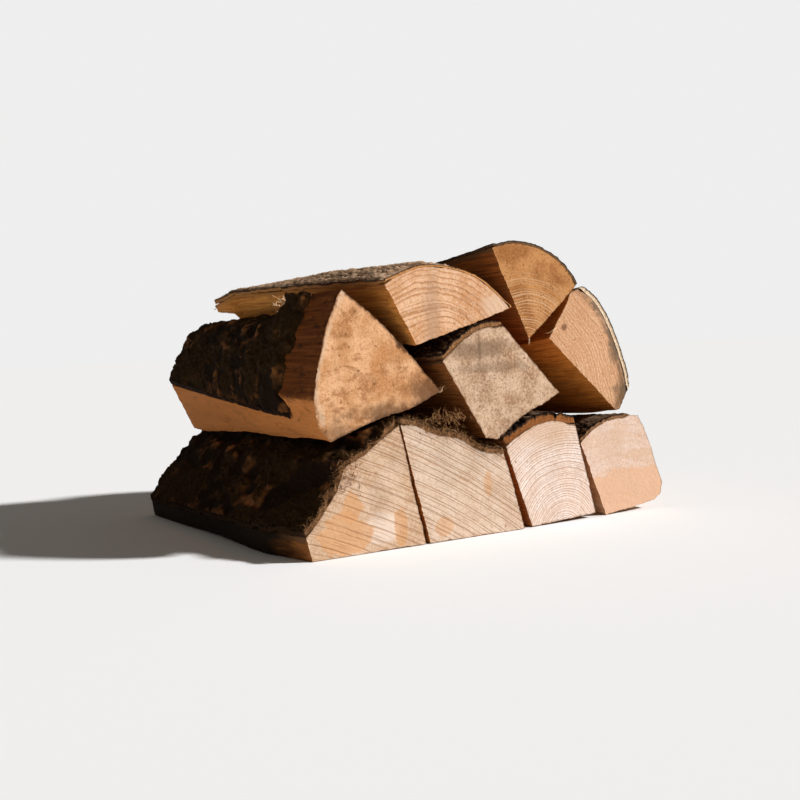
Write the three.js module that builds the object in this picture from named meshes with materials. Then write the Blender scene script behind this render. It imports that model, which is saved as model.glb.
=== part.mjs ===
// A small stack of split firewood: nine splits cut to stove length, four on the ground, three on those and
// two on top. Each split is a wedge or block of wood that still carries a strip of bark on the side that was
// the outside of the trunk. Millimetres, +Z up. The cut ends that show face -Y, and the grain runs along +Y.
import * as THREE from "three";

const CUT_LENGTH = 330; // stove length that the trunk was sawn to
const GAP = 0.35; // clearance between a bark strip and the wood under it
const STEP_ALONG = 56; // longest distance between two rings of a loft
const BARK_STEPS = 12; // straight pieces that a curved bark line is drawn with

// Every split is a loft through outlines [x, z] taken across the grain, seen from the front with z up:
//   split  the corners of the riven or sawn sides, anticlockwise, from the bark's lower end to its upper end
//   bark   the points that the outer bark line is drawn through on its way back to the first corner
// at is the outline's place along the split, as a share of its length. barkDepth is the bark's thickness,
// start is the distance of the front end from the frontmost one, and barkFrom is the length of bark missing
// there.
const SPLITS = [
  {
    name: "base_1", // the mossy left half of a thick half-round
    wood: 0xdcb488,
    bark: 0x2a1d12,
    barkDepth: 5,
    start: 0,
    length: CUT_LENGTH,
    outlines: [
      {
        at: 0,
        split: [[-6, 23], [0, 0], [102, 0], [80, 101]],
        bark: [[67, 94], [46, 80], [27, 71], [21, 57], [10, 42]],
      },
      {
        at: 0.18,
        split: [[-15, 22], [-10, 0], [102, 0], [80.5, 100]],
        bark: [[66, 93], [44, 81], [25, 71], [16, 56], [0, 40]],
      },
      {
        at: 1,
        split: [[0, 17], [3, 0], [104, 0], [84, 97]],
        bark: [[68, 88], [52, 77], [36, 66], [26, 55], [12, 39]],
      },
    ],
  },
  {
    name: "base_2", // the right half of the same half-round
    wood: 0xdfba90,
    bark: 0x5b3c22,
    barkDepth: 5,
    start: 0,
    length: CUT_LENGTH - 4,
    outlines: [
      {
        at: 0,
        split: [[81, 101], [106, 0], [203, 0], [182, 71]],
        bark: [[170, 72], [158, 75], [141, 85], [113, 92], [99, 99]],
      },
      {
        at: 1,
        split: [[86, 97], [108, 0], [197, 0], [180, 68]],
        bark: [[170, 71], [158, 74], [141, 83], [116, 90], [100, 94]],
      },
    ],
  },
  {
    name: "base_3", // a block with bold growth rings and the thickest bark
    wood: 0xe9cdb0,
    bark: 0x8a5527,
    barkDepth: 7,
    start: 2,
    length: CUT_LENGTH,
    outlines: [
      {
        at: 0,
        split: [[184, 77], [213, 0], [286, 4], [263, 90]],
        bark: [[240, 95.5], [215, 92], [196, 84]],
      },
      {
        at: 1,
        split: [[187, 71], [212, 0], [284, 0], [262, 84]],
        bark: [[242, 90], [218, 88], [198, 80]],
      },
    ],
  },
  {
    name: "base_4", // the block at the right end of the row
    wood: 0xe3bd95,
    bark: 0x6b4a30,
    barkDepth: 3,
    start: 4,
    length: CUT_LENGTH - 6,
    outlines: [
      {
        at: 0,
        split: [[271, 69], [300, 0], [360, 7], [368, 12], [371, 22], [350, 74], [343, 86], [329, 88]],
        bark: [[318, 88.5], [303, 86], [284, 79]],
      },
      {
        at: 0.16,
        split: [[272, 66], [300.4, 0], [361, 3], [369, 9], [371.4, 20], [351, 73], [344, 83], [330, 85]],
        bark: [[319, 85.5], [304, 83.5], [286, 76]],
      },
      {
        at: 1,
        split: [[277, 62], [302, 0], [364, 0], [371, 7], [373, 19], [356, 70], [350, 77], [336, 79]],
        bark: [[322, 79.5], [306, 77.5], [290, 72]],
      },
    ],
  },
  {
    name: "middle_1", // the big mossy split on the left, bare of bark at its front end
    wood: 0xd9a273,
    bark: 0x33220f,
    barkDepth: 5,
    barkFrom: 48,
    start: 12,
    length: CUT_LENGTH - 7,
    outlines: [
      {
        at: 0,
        split: [
          [13.5, 101], [27, 86], [48, 94], [80, 103], [100, 107], [117, 114],
          [131, 119], [111, 140], [100, 152], [70, 180], [37, 205],
        ],
        bark: [[26.5, 186], [17, 158.5], [10.5, 131.5], [8.5, 113]],
      },
      {
        at: 0.27,
        split: [
          [19, 108], [38, 85], [56, 95], [80, 102.5], [100, 107], [117, 113],
          [131, 118], [111, 140], [100, 153], [76, 180], [42, 205],
        ],
        bark: [[31, 186], [21, 161], [13, 137], [13, 120]],
      },
      {
        at: 0.38,
        split: [
          [21, 111], [39, 85], [56, 95], [80, 102.5], [100, 107], [117, 113],
          [131, 117], [111, 140], [101, 153], [85, 172], [63, 190],
        ],
        bark: [[40, 181], [26, 163], [17, 141], [16, 123]],
      },
      {
        at: 1,
        split: [
          [27, 131], [51, 83], [64, 92.5], [82, 100.5], [100, 104], [116, 108],
          [136, 112], [116, 140], [106, 153], [95, 172], [80, 188],
        ],
        bark: [[66, 186], [53, 179], [38, 160], [29, 143]],
      },
    ],
  },
  {
    name: "middle_2", // the weathered square block in the middle
    wood: 0xbca184,
    bark: 0x6e5138,
    barkDepth: 4.5,
    start: 5,
    length: CUT_LENGTH - 12,
    outlines: [
      {
        at: 0,
        split: [
          [126, 147.5], [169, 79], [183, 76.5], [205, 92], [235, 105], [250, 112], [219, 143], [188, 174],
        ],
        bark: [[174, 175], [158, 170], [141, 160]],
      },
      {
        at: 1,
        split: [
          [124, 143], [166, 82], [181, 77], [206, 90], [232, 101], [246, 108], [216, 140], [186, 168],
        ],
        bark: [[172, 170], [156, 165], [138, 155]],
      },
    ],
  },
  {
    name: "middle_3", // the clean wedge on the right
    wood: 0xe0ab78,
    bark: 0xd8c3a0,
    barkDepth: 5,
    start: 15,
    length: CUT_LENGTH - 10,
    outlines: [
      {
        at: 0,
        split: [
          [288, 203.5], [275, 198], [269, 187], [262, 177], [249, 159], [326, 91.5], [331, 92], [342, 111],
        ],
        bark: [[343, 123], [334, 149], [318, 180], [302, 198]],
      },
      {
        at: 0.13,
        split: [
          [289, 198.5], [275.5, 193], [269, 182], [262, 172], [249, 154], [325, 87], [331, 88], [342, 107],
        ],
        bark: [[343, 119], [335, 144], [319, 175], [303, 193]],
      },
      {
        at: 1,
        split: [
          [295, 172], [281, 165], [274, 156], [266, 148], [251, 134], [317, 82.5], [330, 84], [345, 103],
        ],
        bark: [[346, 117], [338, 137], [323, 156], [307, 168]],
      },
    ],
  },
  {
    name: "top_1", // the long flat quarter whose far end broke off in a lip
    wood: 0xe9bf8c,
    bark: 0x8d7660,
    barkDepth: 4,
    start: 5,
    length: CUT_LENGTH - 4,
    outlines: [
      {
        at: 0,
        split: [[74, 208.5], [103, 157], [203, 186]],
        bark: [[189, 200], [165, 215], [138, 222], [112, 223], [89, 216.5]],
      },
      {
        at: 0.42,
        split: [[76, 213], [107, 163], [203, 189]],
        bark: [[189, 204], [165, 218], [138, 225], [112, 226], [90, 220]],
      },
      {
        at: 0.87,
        split: [[77, 216.5], [111, 166], [201, 189]],
        bark: [[188, 204], [165, 216], [138, 222], [112, 223], [90, 220]],
      },
      {
        at: 0.875,
        split: [[77, 216], [80, 198], [201, 187.5]],
        bark: [[188, 203.5], [165, 215.5], [138, 221.5], [112, 222.5], [90, 219.5]],
      },
      {
        at: 1,
        split: [[77, 209.5], [81, 199], [199, 187]],
        bark: [[187, 199], [165, 210], [138, 216], [112, 216], [92, 213]],
      },
    ],
  },
  {
    name: "top_2", // the peak wedge, point down, tilted towards its far end
    wood: 0xc98f58,
    bark: 0x5a4128,
    barkDepth: 2,
    start: 10,
    length: CUT_LENGTH - 8,
    outlines: [
      {
        at: 0,
        split: [[185, 237.5], [223, 158.5], [279, 205]],
        bark: [[272, 216], [259, 227.5], [238, 237.5], [210, 242]],
      },
      {
        at: 1,
        split: [[199, 206], [236, 128], [286, 172]],
        bark: [[279, 184], [268, 196], [247, 206], [222, 210]],
      },
    ],
  },
];

const vec = ([x, z]) => new THREE.Vector2(x, z);

// The outline of a split at a share of its length, blended from the two given outlines on either side of it.
function outlineAt(split, share) {
  const { outlines } = split;
  const next = Math.max(1, outlines.findIndex((o) => o.at >= share - 1e-9));
  const [a, b] = [outlines[next - 1], outlines[next]];
  const t = (share - a.at) / (b.at - a.at);
  const blend = (key) => a[key].map((p, i) => vec(p).lerp(vec(b[key][i]), t));
  return { split: blend("split"), bark: blend("bark") };
}

// The outer bark line, from the last split corner over the bark's points to the first one, in equal pieces.
function barkLine({ split, bark }) {
  return new THREE.SplineCurve([split.at(-1), ...bark, split[0]]).getSpacedPoints(BARK_STEPS);
}

// The bark line moved depth into the wood. Its two ends slide along the split sides, so the bark ends flush.
function inset(line, corners, depth) {
  const along = (from, to) => to.clone().sub(from).setLength(depth).add(from);
  return line.map((p, i) => {
    if (i === 0) return along(p, corners.at(-2));
    if (i === line.length - 1) return along(p, corners[1]);
    const run = line[i + 1].clone().sub(line[i - 1]).setLength(depth);
    return new THREE.Vector2(p.x - run.y, p.y + run.x);
  });
}

// Where a loft has its rings along the length: at every given outline, and at most STEP_ALONG apart.
function sharesOf(split, from) {
  const kept = split.outlines.map((o) => o.at).filter((at) => at > from + 1e-3);
  const shares = [from];
  for (const at of kept) {
    const start = shares.at(-1);
    const count = Math.ceil(((at - start) * split.length) / STEP_ALONG);
    for (let i = 1; i <= count; i++) shares.push(start + ((at - start) * i) / count);
  }
  return shares;
}

// A closed surface through rings of equal point counts, each ring flat at its own y and capped at both ends.
// From the point number turned on, the sides are cut along their other diagonal, so that facing surfaces
// match.
function loft(rings, turned = Infinity) {
  const count = rings[0].points.length;
  const position = rings.flatMap(({ y, points }) => points.flatMap((p) => [p.x, y, p.y]));
  const index = [];
  for (let r = 0; r < rings.length - 1; r++) {
    for (let i = 0; i < count; i++) {
      const [a, b] = [r * count + i, r * count + ((i + 1) % count)];
      if (i < turned) index.push(a, b + count, b, a, a + count, b + count);
      else index.push(a, a + count, b, b, a + count, b + count);
    }
  }
  const cap = (ring, base, flip) => {
    for (const [a, b, c] of THREE.ShapeUtils.triangulateShape(ring.points, [])) {
      index.push(base + a, base + (flip ? c : b), base + (flip ? b : c));
    }
  };
  const last = rings.length - 1;
  cap(rings[0], 0, false);
  cap(rings[last], last * count, true);
  return new THREE.BufferGeometry()
    .setAttribute("position", new THREE.Float32BufferAttribute(position, 3))
    .setIndex(index);
}

function woodGeometry(split) {
  const rings = sharesOf(split, 0).map((share) => {
    const outline = outlineAt(split, share);
    const under = inset(barkLine(outline), outline.split, split.barkDepth);
    return { y: split.start + share * split.length, points: [...outline.split.slice(1, -1), ...under] };
  });
  return loft(rings);
}

function barkGeometry(split) {
  const from = (split.barkFrom ?? 0) / split.length;
  const rings = sharesOf(split, from).map((share) => {
    const outline = outlineAt(split, share);
    const outer = barkLine(outline);
    const inner = inset(outer, outline.split, split.barkDepth - GAP);
    return { y: split.start + share * split.length, points: [...outer, ...inner.reverse()] };
  });
  return loft(rings, BARK_STEPS);
}

function mesh(name, geometry, color, roughness) {
  const made = new THREE.Mesh(geometry, new THREE.MeshStandardMaterial({ color, roughness, metalness: 0 }));
  made.name = name;
  return made;
}

const stack = new THREE.Group();
for (const split of SPLITS) {
  stack.add(mesh(`split_${split.name}`, woodGeometry(split), split.wood, 0.8));
  stack.add(mesh(`bark_${split.name}`, barkGeometry(split), split.bark, 0.95));
}

// The origin is on the ground, under the middle of the stack.
const box = new THREE.Box3().setFromObject(stack);
const middle = box.getCenter(new THREE.Vector3());
stack.position.set(-middle.x, -middle.y, -box.min.z);

const firewood = new THREE.Group();
firewood.add(stack);
export default firewood;
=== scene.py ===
import math

import bpy
import numpy as np
from mathutils import Matrix, Vector
from mathutils.geometry import delaunay_2d_cdt


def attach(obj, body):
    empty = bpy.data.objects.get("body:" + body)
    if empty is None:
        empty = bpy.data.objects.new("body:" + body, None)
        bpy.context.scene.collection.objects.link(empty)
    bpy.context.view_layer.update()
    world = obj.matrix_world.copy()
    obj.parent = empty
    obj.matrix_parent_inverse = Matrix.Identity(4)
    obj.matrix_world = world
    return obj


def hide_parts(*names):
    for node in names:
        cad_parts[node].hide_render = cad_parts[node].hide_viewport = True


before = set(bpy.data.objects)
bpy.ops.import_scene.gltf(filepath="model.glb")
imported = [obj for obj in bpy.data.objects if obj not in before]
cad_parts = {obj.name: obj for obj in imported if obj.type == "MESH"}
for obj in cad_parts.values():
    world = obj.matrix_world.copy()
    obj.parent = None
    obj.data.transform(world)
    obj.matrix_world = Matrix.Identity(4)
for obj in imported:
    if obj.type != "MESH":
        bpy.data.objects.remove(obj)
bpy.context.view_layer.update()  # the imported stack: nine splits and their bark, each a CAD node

MM = 0.001
BODY = "root"

# Places are in millimetres in the frame: x along the row of splits, y along the grain, z up from the
# ground. The front cut ends face -y. Colours are linear.

# -------------------------------------------------------------------------------------------- noise

LATTICE = 64
TABLE = np.random.default_rng(11).uniform(-1, 1, (LATTICE, LATTICE, LATTICE))


def noise(x, y, z=0.0, seed=0):
    """Smooth noise from -1 to 1, one lattice cell per unit."""
    shift = np.random.default_rng(seed).uniform(0, LATTICE, 3)
    place = np.stack(np.broadcast_arrays(x, y, z), -1) + shift
    cell = np.floor(place).astype(int)
    f = place - cell
    f = f * f * (3 - 2 * f)
    total = np.zeros(place.shape[:-1])
    for corner in np.ndindex(2, 2, 2):
        weight = np.prod(np.where(corner, f, 1 - f), -1)
        at = (cell + corner) % LATTICE
        total += weight * TABLE[at[..., 0], at[..., 1], at[..., 2]]
    return total


def fractal(x, y, z=0.0, seed=0, octaves=4, gain=0.5):
    """Noise with finer and finer detail, still roughly from -1 to 1."""
    total = 0.0
    weight = 1.0
    for octave in range(octaves):
        k = 2.03**octave
        total = total + weight * noise(x * k, y * k, z * k, seed + octave)
        weight *= gain
    return total


def plates(x, y, seed):
    """Random plates, about one in each unit square. For each point: how far it is from its plate's edge, and
    the plate's number."""
    rng = np.random.default_rng(seed)
    jitter = rng.uniform(0.1, 0.9, (LATTICE, LATTICE, 2))
    number = rng.uniform(0, 1, (LATTICE, LATTICE))
    cx, cy = np.floor(x).astype(int), np.floor(y).astype(int)
    near = np.full(x.shape, 9.0)
    second = np.full(x.shape, 9.0)
    own = np.zeros(x.shape)
    for i in (-1, 0, 1):
        for j in (-1, 0, 1):
            a, b = (cx + i) % LATTICE, (cy + j) % LATTICE
            far = np.hypot(cx + i + jitter[a, b, 0] - x, cy + j + jitter[a, b, 1] - y)
            closer = far < near
            second = np.where(closer, near, np.minimum(second, far))
            own = np.where(closer, number[a, b], own)
            near = np.where(closer, far, near)
    return second - near, own


def ease(value, low, high):
    """0 below low, 1 above high, smooth between."""
    t = np.clip((value - low) / (high - low), 0, 1)
    return t * t * (3 - 2 * t)


# -------------------------------------------------------------------------------- reading the frame


def rings_of(node):
    """A node's rings across the grain: their y places, and their points as [ring, point, (x, z)]. The points
    run anticlockwise seen from the front, with the same point first in each ring."""
    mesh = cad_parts[node].data
    co = np.array([v.co for v in mesh.vertices]) / MM
    points, same = np.unique(np.round(co, 2), axis=0, return_inverse=True)
    same = same.reshape(-1)
    beside = {}
    for polygon in mesh.polygons:
        corners = [same[i] for i in polygon.vertices]
        if np.ptp(points[corners, 1]) < 0.05:
            continue
        for a, b in zip(corners, corners[1:] + corners[:1]):
            if abs(points[a, 1] - points[b, 1]) < 0.05:
                beside.setdefault(a, set()).add(b)
                beside.setdefault(b, set()).add(a)
    places = []
    rings = []
    for y in np.unique(np.round(points[:, 1], 1)):
        start = next(i for i in beside if abs(points[i, 1] - y) < 0.06)
        walk = [start, min(beside[start])]
        while True:
            step = (beside[walk[-1]] - {walk[-2]}).pop()
            if step == start:
                break
            walk.append(step)
        ring = points[walk][:, [0, 2]]
        ahead = np.roll(ring, -1, 0)
        if np.sum(ring[:, 0] * ahead[:, 1] - ahead[:, 0] * ring[:, 1]) < 0:
            ring = ring[::-1]
        if rings:
            turns = [np.sum((np.roll(ring, k, 0) - rings[-1]) ** 2) for k in range(len(ring))]
            ring = np.roll(ring, int(np.argmin(turns)), 0)
        places.append(points[walk[0], 1])
        rings.append(ring)
    return np.array(places), np.array(rings)


def along(places, values, y):
    """Values at each y, bent smoothly between the rings and never past them."""
    h = np.diff(places)[:, None, None]
    slope = np.diff(values, axis=0) / h
    bend = np.zeros_like(values)
    bend[0], bend[-1] = slope[0], slope[-1]
    product = slope[:-1] * slope[1:]
    total = slope[:-1] + slope[1:]
    bend[1:-1] = np.where(product > 0, 2 * product / np.where(product > 0, total, 1), 0)
    k = np.clip(np.searchsorted(places, y) - 1, 0, len(places) - 2)
    t = ((y - places[k]) / np.diff(places)[k])[:, None, None]
    a, b = values[k], values[k + 1]
    return (
        (2 * t**3 - 3 * t**2 + 1) * a
        + (t**3 - 2 * t**2 + t) * h[k] * bend[k]
        + (3 * t**2 - 2 * t**3) * b
        + (t**3 - t**2) * h[k] * bend[k + 1]
    )


def turning(ring):
    """How sharply an outline turns at each of its points, in degrees."""
    into = ring - np.roll(ring, 1, 0)
    out = np.roll(ring, -1, 0) - ring
    turn = np.arctan2(into[:, 0] * out[:, 1] - into[:, 1] * out[:, 0], np.sum(into * out, 1))
    return np.abs(np.degrees(turn))


def unit(v):
    return v / np.maximum(np.linalg.norm(v, axis=-1, keepdims=True), 1e-9)


def drawn_fine(outlines, sharp, pitch, closed=True):
    """Outlines [station, point, 2] with curved sides, each side cut into pieces of about pitch."""
    count = outlines.shape[1]
    ahead = unit(np.roll(outlines, -1, 1) - outlines)
    behind = np.roll(ahead, 1, 1)
    smooth = unit(ahead + behind)
    pieces = []
    for i in range(count if closed else count - 1):
        j = (i + 1) % count
        length = np.linalg.norm(outlines[:, j] - outlines[:, i], axis=1)
        leave = np.where(sharp[i], ahead[:, i], smooth[:, i]) * length[:, None]
        reach = np.where(sharp[j], ahead[:, i], smooth[:, j]) * length[:, None]
        steps = max(1, round(float(length.mean()) / pitch))
        t = (np.arange(steps) / steps)[None, :, None]
        a, b = outlines[:, i, None], outlines[:, j, None]
        pieces.append(
            (2 * t**3 - 3 * t**2 + 1) * a
            + (t**3 - 2 * t**2 + t) * leave[:, None]
            + (3 * t**2 - 2 * t**3) * b
            + (t**3 - t**2) * reach[:, None]
        )
    if not closed:
        pieces.append(outlines[:, -1:])
    return np.concatenate(pieces, 1)


def outward(line, closed=True):
    """Outward directions along fine outlines that run anticlockwise."""
    if closed:
        run = np.roll(line, -1, 1) - np.roll(line, 1, 1)
    else:
        run = np.gradient(line, axis=1)
    return unit(np.stack([run[..., 1], -run[..., 0]], -1))


def distance_to(points, line):
    """Distance from each point to the nearest point of a line."""
    best = np.full(len(points), 1e9)
    for start in range(0, len(line), 64):
        gap = points[:, None] - line[None, start : start + 64]
        best = np.minimum(best, np.sqrt((gap**2).sum(-1)).min(1))
    return best


# ------------------------------------------------------------------------------------ making meshes


def finished(name, points, faces, material, attributes, replaced):
    """A piece from points in millimetres, riding on the stack. Attributes are given as (domain, values)."""
    mesh = bpy.data.meshes.new(name)
    mesh.from_pydata((np.asarray(points) * MM).tolist(), [], faces)
    mesh.update()
    for label, (domain, values) in attributes.items():
        attribute = mesh.attributes.new(label, "FLOAT", domain)
        attribute.data.foreach_set("value", np.asarray(values, np.float32))
    mesh.polygons.foreach_set("use_smooth", [True] * len(mesh.polygons))
    mesh.materials.append(material)
    piece = bpy.data.objects.new(name, mesh)
    bpy.context.scene.collection.objects.link(piece)
    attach(piece, BODY)
    if replaced:
        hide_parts(replaced)
    return piece


def grid_faces(rows, columns, start=0, closed=False, flip=False):
    """Quads between the points of a grid that is stored row after row."""
    i = np.arange(rows - 1)[:, None] * columns
    j = np.arange(columns if closed else columns - 1)[None, :]
    k = (j + 1) % columns
    corners = np.broadcast_arrays(i + j, i + columns + j, i + columns + k, i + k)
    quad = np.stack(corners, -1).reshape(-1, 4) + start
    return (quad[:, ::-1] if flip else quad).tolist()


# Sizes of the meshes, in millimetres.
FINE = 1.0  # between points round the wood
FRONT_PITCH = 1.0  # between points on the front cut ends
BACK_PITCH = 1.6  # between points on the back cut ends
BARK_PITCH = 1.2  # between points across the bark
BARK_STRETCH = 1.9  # points along the bark are this many times as far apart
BARK_SEAT = 0.45  # how far the bark's inner side reaches into the wood, so that no light shows between them
THINNEST_BARK = 1.0  # the bark's outer side is farther than this from the wood
BARK_TOUCHES = 1.2  # wood is under the bark where it is closer to it than this
NEAR_END = (0, 0.8, 2.0, 4.0, 7.0)  # places of the wood's rows near a cut end
END_ZONE = 11
ROW_STEP = 5

# Degrees: an outline that turns by more than this has an edge there, and is drawn curved elsewhere.
WOOD_EDGE = 21
BARK_EDGE = 40


def stations(start, end):
    """Places along the grain: close together at both cut ends, about ROW_STEP apart between them."""
    near = np.array(NEAR_END)
    count = max(2, round((end - start - 2 * END_ZONE) / ROW_STEP))
    middle = np.linspace(start + END_ZONE, end - END_ZONE, count)
    return np.concatenate([start + near, middle, end - near[::-1]])


# A cut end's points stand in staggered rows. These are shares of their pitch.
ROW_SHARE = 0.87  # between rows
JITTER = 0.15
CLEAR_OF_RIM = 0.55


def cap(outline, pitch, seed):
    """Points inside a closed outline, and triangles over it that use the outline's own points first."""
    low, high = outline.min(0), outline.max(0)
    rng = np.random.default_rng(seed)
    xs = np.arange(low[0], high[0], pitch)
    zs = np.arange(low[1], high[1], pitch * ROW_SHARE)
    x, z = np.meshgrid(xs, zs)
    x = x + (np.arange(len(zs)) % 2)[:, None] * pitch / 2
    inside = np.stack([x.ravel(), z.ravel()], -1)
    inside += rng.uniform(-JITTER, JITTER, inside.shape) * pitch
    a, b = outline, np.roll(outline, -1, 0)
    crossing = np.zeros(len(inside), int)
    for (ax, az), (bx, bz) in zip(a, b):
        if az == bz:
            continue
        spans = (az > inside[:, 1]) != (bz > inside[:, 1])
        crossing += spans & (inside[:, 0] < (bx - ax) * (inside[:, 1] - az) / (bz - az) + ax)
    inside = inside[crossing % 2 == 1]
    rim = distance_to(inside, outline)
    keep = rim > pitch * CLEAR_OF_RIM
    inside, rim = inside[keep], rim[keep]
    everything = np.concatenate([outline, inside])
    count = len(outline)
    edges = [(i, (i + 1) % count) for i in range(count)]
    found = delaunay_2d_cdt([Vector(p) for p in everything.tolist()], edges, [], 1, 1e-6)
    source = []
    for place, origin in zip(found[0], found[3]):
        if origin:
            source.append(origin[0])
        else:
            source.append(int(np.argmin(((everything - np.array(place)) ** 2).sum(1))))
    faces = [tuple(source[i] for i in face) for face in found[2]]
    return inside, rim, [face for face in faces if len(set(face)) == 3]


def build_split(spec):
    """One split of wood: riven sides with raised grain, and sawn ends."""
    name = "split_" + spec["name"]
    seed = spec["seed"]
    places, rings = rings_of(name)
    sharp = turning(rings[0]) > WOOD_EDGE
    y = stations(places[0], places[-1])
    line = drawn_fine(along(places, rings, y), sharp, FINE)
    normal = outward(line)
    rows, columns = line.shape[:2]
    x, z = line[..., 0], line[..., 1]
    yy = np.broadcast_to(y[:, None], x.shape)

    # Riven wood: broad waves, steps where the split left one layer for the next, and fibres along the grain.
    # All this is weaker near the cut ends, whose edges are chipped. Wood under the bark is left smooth.
    wave = 0.9 * fractal(x / 24, z / 24, yy / 160, seed, 2)
    level = 2.6 * fractal(x / 13, z / 13, yy / 130, seed + 5, 2)
    step = np.floor(level) + ease(level - np.floor(level), 0.78, 1.0)
    fibres = 0.34 * fractal(x / 2.3, z / 2.3, yy / 46, seed + 9, 3)
    away = np.minimum(yy - y[0], y[-1] - yy)
    calm = 0.25 + 0.75 * ease(away, 0, 14)
    riven = (wave + 0.7 * step + fibres) * spec.get("rough", 1.0)
    push = riven * calm - 0.2 * ease(away, 0, 14)
    chipped = (1 - ease(away, 0, 1.4)) * (0.1 + 0.5 * noise(x / 2.2, z / 2.2, yy, seed + 20))
    push = push - chipped
    under_bark = bark_line(spec, places, rings)
    covered = distance_to(line[0], under_bark) < FINE
    hidden = covered[None, :] & (yy > y[0])
    push = np.where(hidden, 0.1, push)
    line = line + normal * push[..., None]
    line[..., 1] = np.maximum(line[..., 1], 0)

    side = as_points(line, yy)
    faces = grid_faces(rows, columns, closed=True, flip=True)
    is_end = [0.0] * len(faces)
    fray = [1.0] * columns + [0.0] * (len(faces) - columns)
    rim = np.zeros(len(side))
    points = side
    for which, ring, pitch in ((0, 0, FRONT_PITCH), (rows - 1, 1, BACK_PITCH)):
        outline = line[which]
        inside, inside_rim, triangles = cap(outline, pitch, seed + ring)
        base = len(points)
        first = which * columns
        at = np.full(len(inside), y[which])
        points = np.concatenate([points, np.stack([inside[:, 0], at, inside[:, 1]], -1)])
        rim = np.concatenate([rim, inside_rim])
        index = np.concatenate([np.arange(columns) + first, np.arange(len(inside)) + base])
        new = index[np.array(triangles)]
        a, b, c = (points[new[0, i]][[0, 2]] for i in range(3))
        spin = (b[0] - a[0]) * (c[1] - a[1]) - (b[1] - a[1]) * (c[0] - a[0])
        if (spin < 0) == (which == 0):
            new = new[:, ::-1]
        faces += new.tolist()
        is_end += [1.0] * len(new)
        fray += [0.0] * len(new)
        flat = points[index]
        out = -1 if which == 0 else 1
        sawn = 0.55 * fractal(flat[:, 0] / 34, flat[:, 2] / 34, 0, seed + 30, 2)
        sawn += spec.get("sawn", 0.12) * fractal(flat[:, 0] / 2.2, flat[:, 2] / 2.2, 0, seed + 31, 3)
        points[index, 1] += out * (sawn - 0.25)

    side_near = [distance_to(outline, outline[covered]) for outline in line]
    end_near = distance_to(points[len(side) :, [0, 2]], under_bark)
    bark_near = np.concatenate([np.ravel(side_near), end_near])
    faces_down = ease(-normal[..., 1], -0.3, 0.5).ravel()
    under = np.concatenate([faces_down, np.zeros(len(points) - len(side))])
    attributes = {
        "end": ("FACE", is_end),
        "fray": ("FACE", fray),
        "rim": ("POINT", rim),
        "bark_near": ("POINT", bark_near),
        "under": ("POINT", under),
    }
    piece = "wood_" + spec["name"]
    return finished(piece, points, faces, wood_material(spec), attributes, name)


def as_points(line, yy):
    """Points in space from outlines across the grain and their places along it."""
    return np.concatenate([line[..., :1], yy[..., None], line[..., 1:]], -1).reshape(-1, 3)


def bark_line(spec, places, rings):
    """Points of the wood's outline that lie under the bark, where the bark begins at the front."""
    band_places, band = rings_of("bark_" + spec["name"])
    ring = along(places, rings, band_places[:1])[0]
    fine = drawn_fine(ring[None], turning(ring) > WOOD_EDGE, FINE)[0]
    fine_band = drawn_fine(band[:1], turning(band[0]) > BARK_EDGE, FINE)[0]
    return fine[distance_to(fine, fine_band) < BARK_TOUCHES]


def bark_lines(spec):
    """The bark band's outer and inner lines at each of its rings, from one end of the arc to the other."""
    places, band = rings_of("bark_" + spec["name"])
    wood_places, wood = rings_of("split_" + spec["name"])
    core = along(wood_places, wood, places[:1])[0]
    gap = distance_to(band[0], drawn_fine(core[None], turning(core) > WOOD_EDGE, FINE / 2)[0])
    is_outer = gap > THINNEST_BARK
    first = next(i for i in range(len(is_outer)) if is_outer[i] and not is_outer[i - 1])
    count = int(is_outer.sum())
    order = (np.arange(band.shape[1]) + first) % band.shape[1]
    outer = band[:, order[:count]]
    inner = band[:, order[count:]][:, ::-1]
    return places, outer, inner


def spread(line, start, end, columns):
    """A line drawn again with evenly spread points, start and end mm short of its two ends."""
    length = np.concatenate([[0], np.cumsum(np.linalg.norm(np.diff(line, axis=0), axis=1))])
    at = np.linspace(start, length[-1] - end, columns)
    return np.stack([np.interp(at, length, line[:, 0]), np.interp(at, length, line[:, 1])], -1)


# A crack along the bark, in millimetres.
CRACK_DEPTH = 7
CRACK_FLANKS = (0.5, 2.2)  # from its middle: full depth up to the first, none past the second
CRACK_REACH = (30, 60)  # from the front: full depth up to the first, none past the second


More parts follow.
